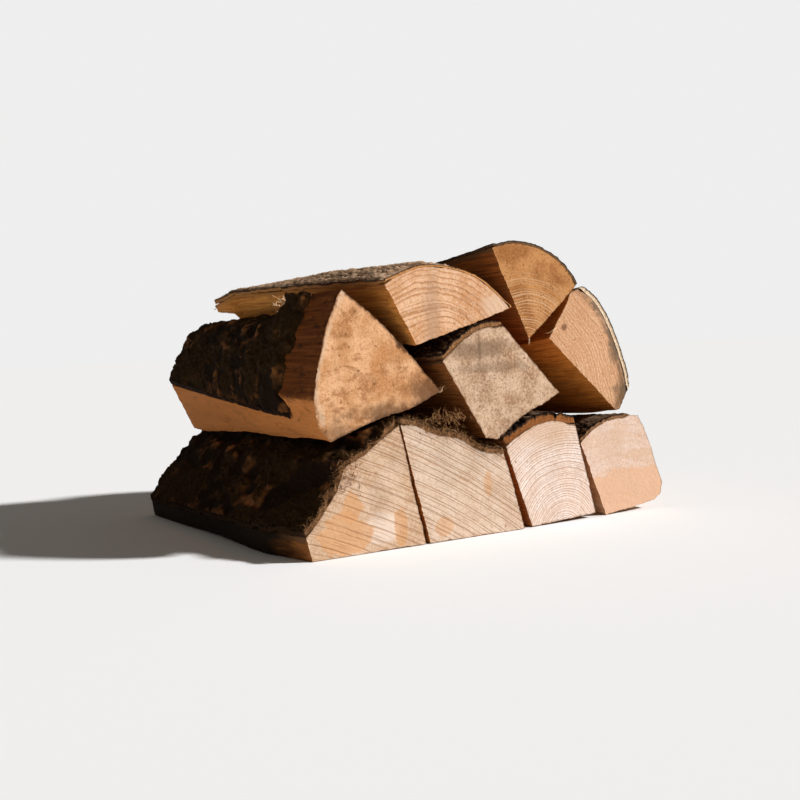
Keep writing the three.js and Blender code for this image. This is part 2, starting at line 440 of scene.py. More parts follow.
def build_bark(spec):
    """One strip of bark: a closed slab on its split, with broken edges, and plates, furrows or moss on it."""
    name = "bark_" + spec["name"]
    seed = spec["seed"] + 100
    look = spec["bark"]
    places, outer, inner = bark_lines(spec)
    start, end = places[0], places[-1]
    rows = round((end - start) / (BARK_PITCH * BARK_STRETCH))
    y = np.linspace(start, end, rows)
    corners = np.zeros(outer.shape[1], bool)
    outer = drawn_fine(along(places, outer, y), corners, BARK_PITCH, closed=False)
    inner = drawn_fine(along(places, inner, y), corners, BARK_PITCH, closed=False)
    columns = min(outer.shape[1], inner.shape[1])
    ragged = look.get("ragged", 1.5)
    low_edge = ragged * (0.5 + 0.9 * fractal(y / 9, 0.5, 0, seed + 40, 4))
    high_edge = ragged * (0.5 + 0.9 * fractal(y / 9, 7.5, 0, seed + 41, 4))
    low_edge, high_edge = np.maximum(low_edge, 0), np.maximum(high_edge, 0)
    outer = np.stack([spread(a, lo, hi, columns) for a, lo, hi in zip(outer, low_edge, high_edge)])
    inner = np.stack([spread(a, lo, hi, columns) for a, lo, hi in zip(inner, low_edge, high_edge)])
    inner = inner - outward(inner, closed=False) * BARK_SEAT
    s = np.linspace(0, columns * BARK_PITCH, columns)[None, :]

    # The two sawn ends break back by different amounts across the strip.
    bitten = 0.3 + fractal(s / look.get("bites", 5), 3.3, 0, seed + 42, 5, 0.42)
    front = look.get("front_ragged", 1.2) * np.maximum(bitten, 0)
    back = 1.5 * np.maximum(0.3 + fractal(s / 5, 9.3, 0, seed + 43, 4), 0)
    share = np.linspace(0, 1, rows)[:, None]
    yy = (start + front) * (1 - share) + (end - back) * share
    relief, moss = look["relief"](s + 0 * yy, yy, seed)
    if "crack" in look:
        crack_at = look["crack"] * s.max() + 0.8 * noise(yy / 12, 4.4, 0, seed + 44)
        open_across = 1 - ease(np.abs(s - crack_at), *CRACK_FLANKS)
        relief = relief - CRACK_DEPTH * open_across * (1 - ease(yy - start, *CRACK_REACH))
    relief = relief - look.get("sink", 0.6)
    thick = np.linalg.norm(outer - inner, axis=-1)
    hem = np.minimum(s, s[:, ::-1]) + 0 * yy
    relief = relief * ease(hem, -1.5, 2.5)
    plate_height = relief
    if "thins_over" in look:
        whole = ease(yy - yy[:1], 0, look["thins_over"])
        relief = relief * (0.3 + 0.7 * whole) - (thick - look.get("thin_edge", 0.6)) * (1 - whole)
    relief = np.maximum(relief, 0.8 - thick)
    outer = outer + outward(outer, closed=False) * relief[..., None]

    total = rows * columns
    points = np.concatenate([as_points(outer, yy), as_points(inner, yy)])
    points[:, 2] = np.maximum(points[:, 2], 0)
    faces = grid_faces(rows, columns, flip=True)
    faces += grid_faces(rows, columns, start=total)
    cut = [0.0] * len(faces)
    fringe = [0.0] * len(faces)
    rim = list(range(columns))
    rim += [r * columns + columns - 1 for r in range(1, rows)]
    rim += [(rows - 1) * columns + c for c in range(columns - 2, -1, -1)]
    rim += [r * columns for r in range(rows - 2, 0, -1)]
    for a, b in zip(rim, rim[1:] + rim[:1]):
        faces.append((a, b, b + total, a + total))
        cut.append(1.0)
        fringe.append(1.0 if max(a, b) < columns else 0.0)
    attributes = {
        "cut": ("FACE", cut),
        "fringe": ("FACE", fringe),
        "skin": ("POINT", np.repeat([1.0, 0.0], total)),
        "relief": ("POINT", np.concatenate([plate_height.ravel(), plate_height.ravel() - 1])),
        "moss": ("POINT", np.concatenate([moss.ravel(), moss.ravel() * 0])),
    }
    piece = "bark_on_" + spec["name"]
    return finished(piece, points, faces, bark_material(spec), attributes, name)


# ---------------------------------------------------------------------- moss, bark fibres and frays


class Tree:
    """Short calls that add nodes to a geometry tree and link them."""

    def __init__(self, name, inputs):
        self.tree = bpy.data.node_groups.new(name, "GeometryNodeTree")
        self.names = {}
        for label, kind in [("Geometry", "Geometry"), *inputs]:
            socket = self.tree.interface.new_socket(label, in_out="INPUT", socket_type="NodeSocket" + kind)
            self.names[label] = socket.identifier
        self.tree.interface.new_socket("Geometry", in_out="OUTPUT", socket_type="NodeSocketGeometry")
        self.given = self.add("NodeGroupInput").outputs

    def add(self, kind, settings=None, **values):
        node = self.tree.nodes.new(kind)
        for key, value in (settings or {}).items():
            setattr(node, key, value)
        for label, value in values.items():
            socket = next(i for i in node.inputs if i.enabled and i.name == label.replace("_", " "))
            self.put(socket, value)
        return node

    def put(self, socket, value):
        if isinstance(value, bpy.types.NodeSocket):
            self.tree.links.new(value, socket)
        else:
            socket.default_value = value

    def random(self, kind, low, high, seed):
        node = self.add("FunctionNodeRandomValue", {"data_type": kind}, Min=low, Max=high, Seed=seed)
        return next(o for o in node.outputs if o.enabled)


# A strand's two handles, for each of the kinds, and shares of its length or of its thickness.
STRAND_BENDS = [
    ((0.1, 0, 0.4), (-0.3, 0.1, 0.8)),
    ((-0.3, 0.1, 0.3), (0.5, 0.2, 0.7)),
    ((0.5, 0, 0.5), (0.6, 0.5, 0.1)),
]
STRAND_ROOT = 0.05  # how much of its length is sunk in the surface
STRAND_TIP = 0.15  # how thick its tip is
STRAND_SHORTEST = 0.4


def make_strand_tree():
    """Scatters bent, tapered, three-sided strands over a surface, as densely as an attribute of it says."""
    t = Tree(
        "Strands",
        [
            ("Density", "Float"),
            ("Length", "Float"),
            ("Radius", "Float"),
            ("Lean", "Float"),
            ("Curl", "Float"),
            ("Where", "String"),
            ("Seed", "Int"),
            ("Material", "Material"),
        ],
    )
    given = t.given
    where = t.add("GeometryNodeInputNamedAttribute", {"data_type": "FLOAT"}, Name=given["Where"]).outputs[0]
    density = t.add("ShaderNodeMath", {"operation": "MULTIPLY"})
    t.put(density.inputs[0], where)
    t.put(density.inputs[1], given["Density"])
    scattered = t.add(
        "GeometryNodeDistributePointsOnFaces",
        Mesh=given["Geometry"],
        Density=density.outputs[0],
        Seed=given["Seed"],
    )

    # A strand is one unit long. Curl moves its two handles, so that each of the kinds bends in its own way.
    kinds = t.add("GeometryNodeJoinGeometry")
    along_strand = t.add("GeometryNodeSplineParameter").outputs["Factor"]
    taper = t.add("ShaderNodeMath", {"operation": "MULTIPLY_ADD"})
    t.put(taper.inputs[0], along_strand)
    taper.inputs[1].default_value = STRAND_TIP - 1
    taper.inputs[2].default_value = 1.0
    profile = t.add("GeometryNodeCurvePrimitiveCircle", Resolution=3, Radius=given["Radius"]).outputs[0]
    for first, second in STRAND_BENDS:
        spline = t.add("GeometryNodeCurvePrimitiveBezierSegment", Resolution=5)
        t.put(spline.inputs["Start"], (0, 0, -STRAND_ROOT))
        for label, offset in (("Start Handle", first), ("End Handle", second)):
            bent = t.add("ShaderNodeVectorMath", {"operation": "MULTIPLY"})
            t.put(bent.inputs[0], offset)
            wide = t.add("ShaderNodeCombineXYZ", X=given["Curl"], Y=given["Curl"], Z=1.0)
            t.put(bent.inputs[1], wide.outputs[0])
            t.put(spline.inputs[label], bent.outputs[0])
        t.put(spline.inputs["End"], (0, 0, 1.0))
        radius = t.add("GeometryNodeSetCurveRadius", Curve=spline.outputs[0], Radius=taper.outputs[0])
        tube = t.add(
            "GeometryNodeCurveToMesh",
            Curve=radius.outputs[0],
            Profile_Curve=profile,
            Fill_Caps=True,
        )
        t.put(tube.inputs["Scale"], taper.outputs[0])
        kind = t.add("GeometryNodeGeometryToInstance", Geometry=tube.outputs[0])
        t.tree.links.new(kind.outputs[0], kinds.inputs[0])

    lean_low = t.add("ShaderNodeMath", {"operation": "MULTIPLY"})
    t.put(lean_low.inputs[0], given["Lean"])
    lean_low.inputs[1].default_value = -1.0
    low = t.add("ShaderNodeCombineXYZ", X=lean_low.outputs[0], Y=lean_low.outputs[0], Z=0.0)
    high = t.add("ShaderNodeCombineXYZ", X=given["Lean"], Y=given["Lean"], Z=2 * math.pi)
    tilt = t.random("FLOAT_VECTOR", low.outputs[0], high.outputs[0], given["Seed"])
    turned = t.add(
        "FunctionNodeRotateRotation",
        {"rotation_space": "LOCAL"},
        Rotation=scattered.outputs["Rotation"],
    )
    t.put(turned.inputs[1], tilt)
    size = t.random("FLOAT", STRAND_SHORTEST, 1.0, given["Seed"])
    scale = t.add("ShaderNodeMath", {"operation": "MULTIPLY"})
    t.put(scale.inputs[0], size)
    t.put(scale.inputs[1], given["Length"])
    planted = t.add(
        "GeometryNodeInstanceOnPoints",
        Points=scattered.outputs["Points"],
        Instance=kinds.outputs[0],
        Pick_Instance=True,
        Instance_Index=t.random("INT", 0, len(STRAND_BENDS) - 1, given["Seed"]),
        Rotation=turned.outputs[0],
    )
    t.put(planted.inputs["Scale"], scale.outputs[0])
    real = t.add("GeometryNodeRealizeInstances", Geometry=planted.outputs[0])
    final = t.add("GeometryNodeSetMaterial", Geometry=real.outputs[0], Material=given["Material"])
    t.tree.links.new(final.outputs[0], t.add("NodeGroupOutput").inputs[0])
    return t


STRANDS = make_strand_tree()
SQUARE_CM_IN_SQUARE_M = 1e4


def grow(name, surface, material, slot, **inputs):
    """Strands on a surface, as a plain mesh of their own. Length and Radius are in millimetres, Density in
    strands on a square centimetre."""
    ground = bpy.data.objects.new("ground", surface.data)
    bpy.context.scene.collection.objects.link(ground)
    modifier = ground.modifiers.new("strands", "NODES")
    modifier.node_group = STRANDS.tree
    length = inputs["Length"] * MM
    values = {
        **inputs,
        "Length": length,
        "Radius": inputs["Radius"] * MM / length,
        "Density": inputs["Density"] * SQUARE_CM_IN_SQUARE_M,
        "Material": material,
    }
    for label, value in values.items():
        modifier[STRANDS.names[label]] = value
    evaluated = ground.evaluated_get(bpy.context.evaluated_depsgraph_get())
    mesh = bpy.data.meshes.new_from_object(evaluated)
    ground.modifiers.clear()
    bpy.data.objects.remove(ground)
    mesh.name = name
    piece = bpy.data.objects.new(name, mesh)
    bpy.context.scene.collection.objects.link(piece)
    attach(piece, BODY)
    return piece


SLIVER_STEPS = 5
SLIVER_SIDES = 3


def torn_out(name, material, slot, seed, root, spread, toward, count, length, width, wild, curl):
    """Slivers or threads that stick out where the wood tore: tapered, three-sided and bent, in one mesh."""
    rng = np.random.default_rng(seed)
    points = []
    faces = []
    for _ in range(count):
        start = np.array(root) + rng.normal(0, 1, 3) * spread
        run = unit(np.array(toward) + rng.normal(0, wild, 3))
        bend = rng.normal(0, curl, 3)
        twist = rng.normal(0, curl, 3)
        reach = length * rng.uniform(0.35, 1.0)
        across = unit(np.cross(run, rng.normal(0, 1, 3)))
        thick = np.cross(run, across) * 0.4
        base = len(points)
        for i in range(SLIVER_STEPS):
            t = i / SLIVER_STEPS
            centre = start + reach * (run * t + bend * t**2 + twist * math.sin(2 * math.pi * t) * 0.2)
            half = width * (1 - t) ** 0.7 / 2
            points += [centre - across * half, centre + across * half, centre + thick * half * 2]
        points.append(start + reach * (run + bend))
        tip = len(points) - 1
        faces.append((base + 2, base + 1, base))
        for i in range(SLIVER_STEPS - 1):
            for j in range(SLIVER_SIDES):
                a = base + i * SLIVER_SIDES + j
                b = base + i * SLIVER_SIDES + (j + 1) % SLIVER_SIDES
                faces.append((a, b, b + SLIVER_SIDES, a + SLIVER_SIDES))
        last = base + (SLIVER_STEPS - 1) * SLIVER_SIDES
        faces += [(last + j, last + (j + 1) % SLIVER_SIDES, tip) for j in range(SLIVER_SIDES)]
    points = np.array(points)
    points[:, 2] = np.maximum(points[:, 2], 0)
    return finished(name, points, faces, material, {}, None)


# -------------------------------------------------------------------------------------- bark relief


def flaky(s, y, seed):
    """Rough grey bark in small flakes that run with the grain."""
    wobble = 1.6 * noise(s / 7, y / 12, 0, seed + 1)
    edge, number = plates((s + wobble) / 3.6, (y + 2 * wobble) / 8.5, seed + 2)
    fine = fractal(s / 1.8, y / 3.6, 0, seed + 3, 3)
    height = 1.5 * ease(edge, 0.02, 0.35) * (0.35 + 0.8 * number) + 0.45 * fine
    return height + 0.5 * fractal(s / 18, y / 30, 0, seed + 4, 2), np.zeros_like(height)


def furrowed(s, y, seed):
    """Thick bark with long furrows between broad ridges."""
    wobble = 2.4 * fractal(s / 9, y / 22, 0, seed + 1, 2)
    edge, number = plates((s + wobble) / 7.5, (y + wobble) / 26, seed + 2)
    fine = fractal(s / 1.7, y / 5, 0, seed + 3, 3)
    height = 2.4 * ease(edge, 0.0, 0.4) * (0.6 + 0.5 * number) + 0.5 * fine
    return height - 0.6, np.zeros_like(height)


def thin(s, y, seed):
    """Thin tight bark, only finely wrinkled."""
    fine = fractal(s / 2.2, y / 6, 0, seed + 3, 4)
    return 0.35 * fine + 0.3 * fractal(s / 15, y / 28, 0, seed + 4, 2), np.zeros_like(fine)


def mossy(s, y, seed):
    """Lumpy bark under moss, with bare patches."""
    lumps = 2.4 * fractal(s / 17, y / 21, 0, seed + 1, 4, 0.55)
    fine = 1.0 * fractal(s / 2.6, y / 2.8, 0, seed + 3, 3)
    cover = ease(fractal(s / 24, y / 34, 0, seed + 6, 4, 0.6), -0.32, 0.12)
    return lumps + fine * (0.5 + 0.7 * cover) + 1.2 * cover - 0.6, cover


# ------------------------------------------------------------------------------------- shader tools


class Graph:
    """Short calls that add nodes to a tree and return their sockets."""

    def __init__(self, tree):
        self.tree = tree

    def add(self, kind, **settings):
        node = self.tree.nodes.new(kind)
        for key, value in settings.items():
            setattr(node, key, value)
        return node

    def put(self, socket, value):
        if value is None:
            return
        if isinstance(value, bpy.types.NodeSocket):
            self.tree.links.new(value, socket)
        elif isinstance(value, tuple) and len(value) == 3 and socket.type == "RGBA":
            socket.default_value = (*value, 1)
        else:
            socket.default_value = value

    def math(self, operation, a, b=None, c=None, clamp=False):
        node = self.add("ShaderNodeMath", operation=operation, use_clamp=clamp)
        for socket, value in zip(node.inputs, (a, b, c)):
            self.put(socket, value)
        return node.outputs[0]

    def vector(self, operation, a, b=None, scale=None):
        node = self.add("ShaderNodeVectorMath", operation=operation)
        self.put(node.inputs[0], a)
        self.put(node.inputs[1], b)
        if scale is not None:
            self.put(node.inputs["Scale"], scale)
        return node.outputs["Value"] if operation in ("LENGTH", "DISTANCE") else node.outputs["Vector"]

    def mix(self, factor, a, b, blend="MIX"):
        node = self.add("ShaderNodeMix", data_type="RGBA", blend_type=blend)
        self.put(node.inputs["Factor"], factor)
        self.put(node.inputs[6], a)
        self.put(node.inputs[7], b)
        return node.outputs[2]

    def noise(self, vector, scale, detail=3.0, roughness=0.55, distortion=0.0):
        node = self.add("ShaderNodeTexNoise")
        self.put(node.inputs["Vector"], vector)
        self.put(node.inputs["Scale"], scale)
        self.put(node.inputs["Detail"], detail)
        self.put(node.inputs["Roughness"], roughness)
        self.put(node.inputs["Distortion"], distortion)
        return node.outputs["Fac"]

    def step(self, value, low, high):
        """0 at low, 1 at high, smooth between, for any order of the two."""
        node = self.add("ShaderNodeMapRange", interpolation_type="SMOOTHSTEP")
        self.put(node.inputs["Value"], value)
        self.put(node.inputs["From Min"], low)
        self.put(node.inputs["From Max"], high)
        return node.outputs["Result"]

    def stretched(self, vector, x, y, z):
        return self.vector("MULTIPLY", vector, (x, y, z))

    def attribute(self, name):
        return self.add("ShaderNodeAttribute", attribute_name=name).outputs["Fac"]

    def group(self, tree, **values):
        node = self.add("ShaderNodeGroup", node_tree=tree)
        for label, value in values.items():
            self.put(node.inputs[label.replace("_", " ")], value)
        return node.outputs


def new_group(name, inputs, outputs):
    """An empty shader group with its sockets. Inputs are (name, kind, value), outputs are (name, kind)."""
    kinds = {"number": "NodeSocketFloat", "vector": "NodeSocketVector", "colour": "NodeSocketColor"}
    tree = bpy.data.node_groups.new(name, "ShaderNodeTree")
    for label, kind, value in inputs:
        socket = tree.interface.new_socket(label, in_out="INPUT", socket_type=kinds[kind])
        socket.default_value = value
    for label, kind in outputs:
        tree.interface.new_socket(label, in_out="OUTPUT", socket_type=kinds[kind])
    graph = Graph(tree)
    return graph, graph.add("NodeGroupInput").outputs, graph.add("NodeGroupOutput").inputs


def make_growth_rings():
    """Year rings round a pith that runs along the grain. Ring is 1 on a ring's dark line."""
    g, given, out = new_group(
        "Growth rings",
        [
            ("Place", "vector", (0, 0, 0)),
            ("Pith", "vector", (0, 0, 0)),
            ("Spacing", "number", 4.0),
            ("Wobble", "number", 1.0),
            ("Sharpness", "number", 0.5),
        ],
        [("Ring", "number"), ("Radius", "number"), ("Ray", "number")],
    )
    flat = g.stretched(g.vector("SUBTRACT", given["Place"], given["Pith"]), 1, 0, 1)
    calm = g.stretched(given["Place"], 0.03, 0.004, 0.03)
    push = g.math("SUBTRACT", g.noise(calm, 1.0, 2.0), 0.5)
    fine = g.math("SUBTRACT", g.noise(g.stretched(given["Place"], 0.35, 0.01, 0.35), 1.0, 2.0), 0.5)
    reach = g.vector("LENGTH", flat)
    radius = g.math("MULTIPLY_ADD", g.math("MULTIPLY", push, 22.0), given["Wobble"], reach)
    radius = g.math("MULTIPLY_ADD", g.math("MULTIPLY", fine, 1.1), given["Wobble"], radius)
    drift = g.add("ShaderNodeTexNoise", noise_dimensions="1D")
    g.put(drift.inputs["W"], g.math("MULTIPLY", radius, 0.05))
    g.put(drift.inputs["Detail"], 1.0)
    uneven = g.math("MULTIPLY", drift.outputs["Fac"], 1.2)
    turns = g.math("ADD", g.math("DIVIDE", radius, given["Spacing"]), uneven)
    phase = g.math("FRACT", turns)
    rise = g.step(phase, g.math("SUBTRACT", 1.0, given["Sharpness"]), 0.86)
    fall = g.step(phase, 1.0, 0.93)
    g.put(out["Ring"], g.math("MULTIPLY", rise, fall))
    g.put(out["Radius"], radius)
    spokes = g.stretched(g.vector("NORMALIZE", flat), 60, 1, 60)
    place = g.vector("ADD", spokes, g.stretched(given["Place"], 0, 0.03, 0))
    g.put(out["Ray"], g.noise(place, 1.0, 3.0, 0.6))
    return g.tree


def make_saw_marks():
    """Arcs that a saw left across a cut end. Mark is 1 on a scratch, and Hatch is the fine tearing between
    them, from 0 to 1."""
    g, given, out = new_group(
        "Saw marks",
        [
            ("Place", "vector", (0, 0, 0)),
            ("Centre", "vector", (0, 0, 0)),
            ("Spacing", "number", 7.0),
            ("Width", "number", 0.5),
        ],
        [("Mark", "number"), ("Hatch", "number")],
    )
    flat = g.stretched(g.vector("SUBTRACT", given["Place"], given["Centre"]), 1, 0, 1)
    wander = g.math("SUBTRACT", g.noise(g.stretched(given["Place"], 0.02, 0, 0.02), 1.0, 1.0), 0.5)
    reach = g.math("ADD", g.vector("LENGTH", flat), g.math("MULTIPLY", wander, 3.0))
    marks = []
    for scale, shift, weight in ((1.0, 0.0, 1.0), (1.37, 51.7, 0.8), (2.9, 20.3, 0.4)):
        spaced = g.math("DIVIDE", reach, given["Spacing"])
        place = g.math("MULTIPLY_ADD", spaced, scale, shift)
        edge = g.add("ShaderNodeTexVoronoi", voronoi_dimensions="1D", feature="DISTANCE_TO_EDGE")
        own = g.add("ShaderNodeTexVoronoi", voronoi_dimensions="1D", feature="F1")
        for cell in (edge, own):
            g.put(cell.inputs["W"], place)
            g.put(cell.inputs["Scale"], 1.0)
            g.put(cell.inputs["Randomness"], 1.0)
        far = g.math("MULTIPLY", edge.outputs["Distance"], g.math("DIVIDE", given["Spacing"], scale))
        line = g.step(far, given["Width"], g.math("MULTIPLY", given["Width"], 0.3))
        strong = g.math("MULTIPLY_ADD", own.outputs["Color"], 0.5 * weight, 0.5 * weight)
        marks.append(g.math("MULTIPLY", line, strong))
    patchy = g.noise(g.stretched(given["Place"], 0.03, 0, 0.03), 1.0, 2.0)
    weak = g.math("MULTIPLY", marks[2], g.step(patchy, 0.42, 0.6))
    both = g.math("MAXIMUM", g.math("MAXIMUM", marks[0], marks[1]), weak)
    fade = g.math("MULTIPLY_ADD", g.step(patchy, 0.3, 0.5), 0.4, 0.6)
    g.put(out["Mark"], g.math("MULTIPLY", both, fade))
    turned = g.add("ShaderNodeMapping", vector_type="POINT")
    g.put(turned.inputs["Vector"], given["Place"])
    turned.inputs["Rotation"].default_value = (0, math.radians(-27), 0)
    g.put(out["Hatch"], g.noise(g.stretched(turned.outputs["Vector"], 0.06, 0, 0.9), 1.0, 2.0))
    return g.tree


def make_spot():
    """A stain with a soft uneven edge: 1 inside."""
    g, given, out = new_group(
        "Spot",
        [
            ("Place", "vector", (0, 0, 0)),
            ("Centre", "vector", (0, 0, 0)),
            ("Size", "vector", (10, 1, 10)),
            ("Ragged", "number", 0.5),
            ("Soft", "number", 0.12),
        ],
        [("Mask", "number")],
    )
    flat = g.vector("DIVIDE", g.vector("SUBTRACT", given["Place"], given["Centre"]), given["Size"])
    reach = g.vector("LENGTH", g.stretched(flat, 1, 0, 1))
    rough = g.math("SUBTRACT", g.noise(g.stretched(given["Place"], 0.11, 0.01, 0.11), 1.0, 4.0), 0.5)
    reach = g.math("MULTIPLY_ADD", rough, given["Ragged"], reach)
    inner = g.math("SUBTRACT", 1.0, given["Soft"])
    g.put(out["Mask"], g.step(reach, g.math("ADD", 1.0, given["Soft"]), inner))
    return g.tree


def make_grain():
    """Fibres along the grain, and on a cut end the same fibres end on. All the outputs are from 0 to 1."""
    g, given, out = new_group(
        "Grain",
        [("Place", "vector", (0, 0, 0)), ("Pore size", "number", 1.0)],
        [(label, "number") for label in ("Streak", "Pore", "Fibre", "Blotch", "Speckle")],
    )
    place = given["Place"]
    g.put(out["Streak"], g.noise(g.stretched(place, 0.55, 0.012, 0.55), 1.0, 4.0, 0.62))
    finer = g.math("DIVIDE", 1.0, given["Pore size"])
    fine = g.vector("SCALE", g.stretched(place, 1.9, 0.10, 1.9), scale=finer)
    g.put(out["Pore"], g.step(g.noise(fine, 1.0, 1.5, 0.5), 0.60, 0.72))
    g.put(out["Fibre"], g.noise(g.stretched(place, 2.6, 0.06, 2.6), 1.0, 4.0, 0.7))
    g.put(out["Blotch"], g.noise(g.stretched(place, 0.05, 0.008, 0.05), 1.0, 4.0, 0.55))
    g.put(out["Speckle"], g.noise(g.stretched(place, 0.46, 0.02, 0.46), 1.0, 5.0, 0.9))
    return g.tree


def make_flecks():
    """Scattered flecks, one at most in each cell, drawn out along the grain. Mask is 1 on a fleck."""
    g, given, out = new_group(
        "Flecks",
        [
            ("Place", "vector", (0, 0, 0)),
            ("Spacing", "number", 4.0),
            ("Size", "number", 0.25),
            ("Share", "number", 0.5),
        ],
        [("Mask", "number")],
    )
    cell = g.add("ShaderNodeTexVoronoi", feature="F1")
    even = g.stretched(given["Place"], 1, 0.08, 1)
    g.put(cell.inputs["Vector"], g.vector("SCALE", even, scale=g.math("DIVIDE", 1.0, given["Spacing"])))
    g.put(cell.inputs["Scale"], 1.0)
    ragged = g.math("SUBTRACT", g.noise(g.stretched(given["Place"], 0.8, 0.05, 0.8), 1.0, 3.0), 0.5)
    far = g.math("MULTIPLY_ADD", ragged, 0.35, cell.outputs["Distance"])
    fleck = g.step(far, given["Size"], g.math("MULTIPLY", given["Size"], 0.45))
    number = g.add("ShaderNodeSeparateColor")
    g.put(number.inputs[0], cell.outputs["Color"])
    g.put(out["Mask"], g.math("MULTIPLY", fleck, g.math("LESS_THAN", number.outputs[0], given["Share"])))
    return g.tree


GROWTH_RINGS = make_growth_rings()
SAW_MARKS = make_saw_marks()
SPOT = make_spot()
GRAIN = make_grain()
FLECKS = make_flecks()


def new_material(name):
    material = bpy.data.materials.new(name)
    material.use_nodes = True
    material.node_tree.nodes.clear()
    g = Graph(material.node_tree)
    shader = g.add("ShaderNodeBsdfPrincipled")
    g.put(g.add("ShaderNodeOutputMaterial").inputs["Surface"], shader.outputs[0])
    place = g.vector("SCALE", g.add("ShaderNodeTexCoord").outputs["Object"], scale=1 / MM)
    return material, g, shader, place


DRY_GLOSS = 0.1
WOOD_BUMP = 0.35  # millimetres
BARK_BUMP = 0.6
BARK_ROUGHNESS = 0.92
STRAND_GLOSS = 0.2
DULL = 0.9  # roughness of the strands and of the floor


def finish_surface(g, shader, colour, roughness, height, bump):
    """Colour, roughness and raised detail, on the shader's own sockets. Bump is in millimetres."""
    g.put(shader.inputs["Base Color"], colour)
    g.put(shader.inputs["Roughness"], roughness)
    shader.inputs["Specular IOR Level"].default_value = DRY_GLOSS
    raised = g.add("ShaderNodeBump")
    raised.inputs["Strength"].default_value = 1.0
    raised.inputs["Distance"].default_value = bump * MM
    g.put(raised.inputs["Height"], height)
    g.put(shader.inputs["Normal"], raised.outputs["Normal"])


def wood_material(spec):
    """The wood of one split: sawn end grain on its ends, riven grain on its sides."""
    material, g, shader, place = new_material("wood " + spec["name"])
    px, pz = spec["pith"]
    rings = g.group(
        GROWTH_RINGS,
        Place=place,
        Pith=(px, 0, pz),
        Spacing=spec["ring_spacing"],
        Wobble=spec.get("wobble", 0.5),
        Sharpness=spec.get("ring_width", 0.5),
    )
    grain = g.group(GRAIN, Place=place, Pore_size=spec.get("pore_size", 1.0))
    rim = g.attribute("rim")
    bark_near = g.attribute("bark_near")

    # The sawn end.
    end = g.mix(g.step(grain["Blotch"], 0.36, 0.66), spec["light"], spec["mid"])
    if "mottle" in spec:
        mottle_colour, strength = spec["mottle"]
        cloud = g.noise(g.stretched(place, 0.07, 0.01, 0.10), 1.0, 5.0, 0.62, 0.6)
        end = g.mix(g.math("MULTIPLY", g.step(cloud, 0.50, 0.66), strength), end, mottle_colour)
    rays = g.math("MULTIPLY", g.step(rings["Ray"], 0.5, 0.75), spec.get("rays", 0.15))
    end = g.mix(rays, end, spec["mid"])
    dotted = g.math("MULTIPLY_ADD", g.step(grain["Fibre"], 0.38, 0.56), 0.7, 0.3)
    ring = g.math("MULTIPLY", g.math("MULTIPLY", rings["Ring"], dotted), spec["ring_strength"])
    if "ring_fade" in spec:
        near, far, left = spec["ring_fade"]
        kept = g.math("MULTIPLY_ADD", g.step(rings["Radius"], far, near), 1 - left, left)
        ring = g.math("MULTIPLY", ring, kept)
    end = g.mix(ring, end, spec["ring_colour"])
    speckle = spec.get("speckle", 0.6)
    dark = g.math("MULTIPLY", g.step(grain["Speckle"], 0.50, 0.34), speckle)
    end = g.mix(dark, end, spec["pore_colour"])
    pale = g.math("MULTIPLY", g.step(grain["Speckle"], 0.50, 0.66), speckle)
    end = g.mix(pale, end, spec.get("pale", CHALK))
    end = g.mix(g.math("MULTIPLY", grain["Pore"], spec.get("pores", 0.35)), end, spec["pore_colour"])
    for spacing, size, share, colour, strength in spec.get("flecks", USUAL_FLECKS):
        fleck = g.group(FLECKS, Place=place, Spacing=spacing, Size=size, Share=share)
        end = g.mix(g.math("MULTIPLY", fleck["Mask"], strength), end, colour)
    for (sx, sz), (wide, high), colour, strength, ragged, soft in spec.get("spots", ()):
        spot = g.group(
            SPOT,
            Place=place,
            Centre=(sx, 0, sz),
            Size=(wide, 1, high),
            Ragged=ragged,
            Soft=soft,
        )
        end = g.mix(g.math("MULTIPLY", spot["Mask"], strength), end, colour)
    height = g.math("MULTIPLY_ADD", grain["Speckle"], 1.3, g.math("MULTIPLY", grain["Fibre"], 0.4))
    height = g.math("SUBTRACT", height, g.math("MULTIPLY", grain["Pore"], 0.25))
    height = g.math("SUBTRACT", height, g.math("MULTIPLY", ring, 0.4))
    if "saw" in spec:
        saw = spec["saw"]
        marks = g.group(
            SAW_MARKS,
            Place=place,
            Centre=(saw["centre"][0], 0, saw["centre"][1]),
            Spacing=saw["spacing"],
            Width=saw["width"],
        )
        hatch = g.math("MULTIPLY", g.step(marks["Hatch"], 0.52, 0.34), saw["hatch"])
        end = g.mix(hatch, end, saw["colour"])
        end = g.mix(g.math("MULTIPLY", marks["Mark"], saw["strength"]), end, saw["colour"])
        height = g.math("SUBTRACT", height, g.math("MULTIPLY", marks["Mark"], 1.0))
        height = g.math("ADD", height, g.math("MULTIPLY", marks["Hatch"], 0.5))
    if "dirt" in spec:
        depth, dirt_colour, strength = spec["dirt"]
        uneven = g.noise(g.stretched(place, 0.22, 0.02, 0.22), 1.0, 5.0, 0.65)
        reach = g.math("ADD", rim, g.math("MULTIPLY", g.math("SUBTRACT", uneven, 0.5), depth * 3.2))
        end = g.mix(g.math("MULTIPLY", g.step(reach, depth, 0.0), strength), end, dirt_colour)
    # A band along the bark: real weathering on middle_3; on middle_1 a pale band, a painted sheen off the
    # smooth cut.
    if "under_bark" in spec:
        depth, band_colour, strength = spec["under_bark"]
        uneven = g.noise(g.stretched(place, 0.15, 0.02, 0.15), 1.0, 5.0, 0.6)
        reach = g.math("ADD", bark_near, g.math("MULTIPLY", g.math("SUBTRACT", uneven, 0.5), depth * 2.6))
        patches = g.noise(g.stretched(place, 0.06, 0.01, 0.06), 1.0, 3.0, 0.6)
        patches = g.math("MULTIPLY_ADD", g.step(patches, 0.40, 0.56), 0.6 * strength, 0.4 * strength)
        end = g.mix(g.math("MULTIPLY", g.step(reach, depth, depth * 0.2), patches), end, band_colour)

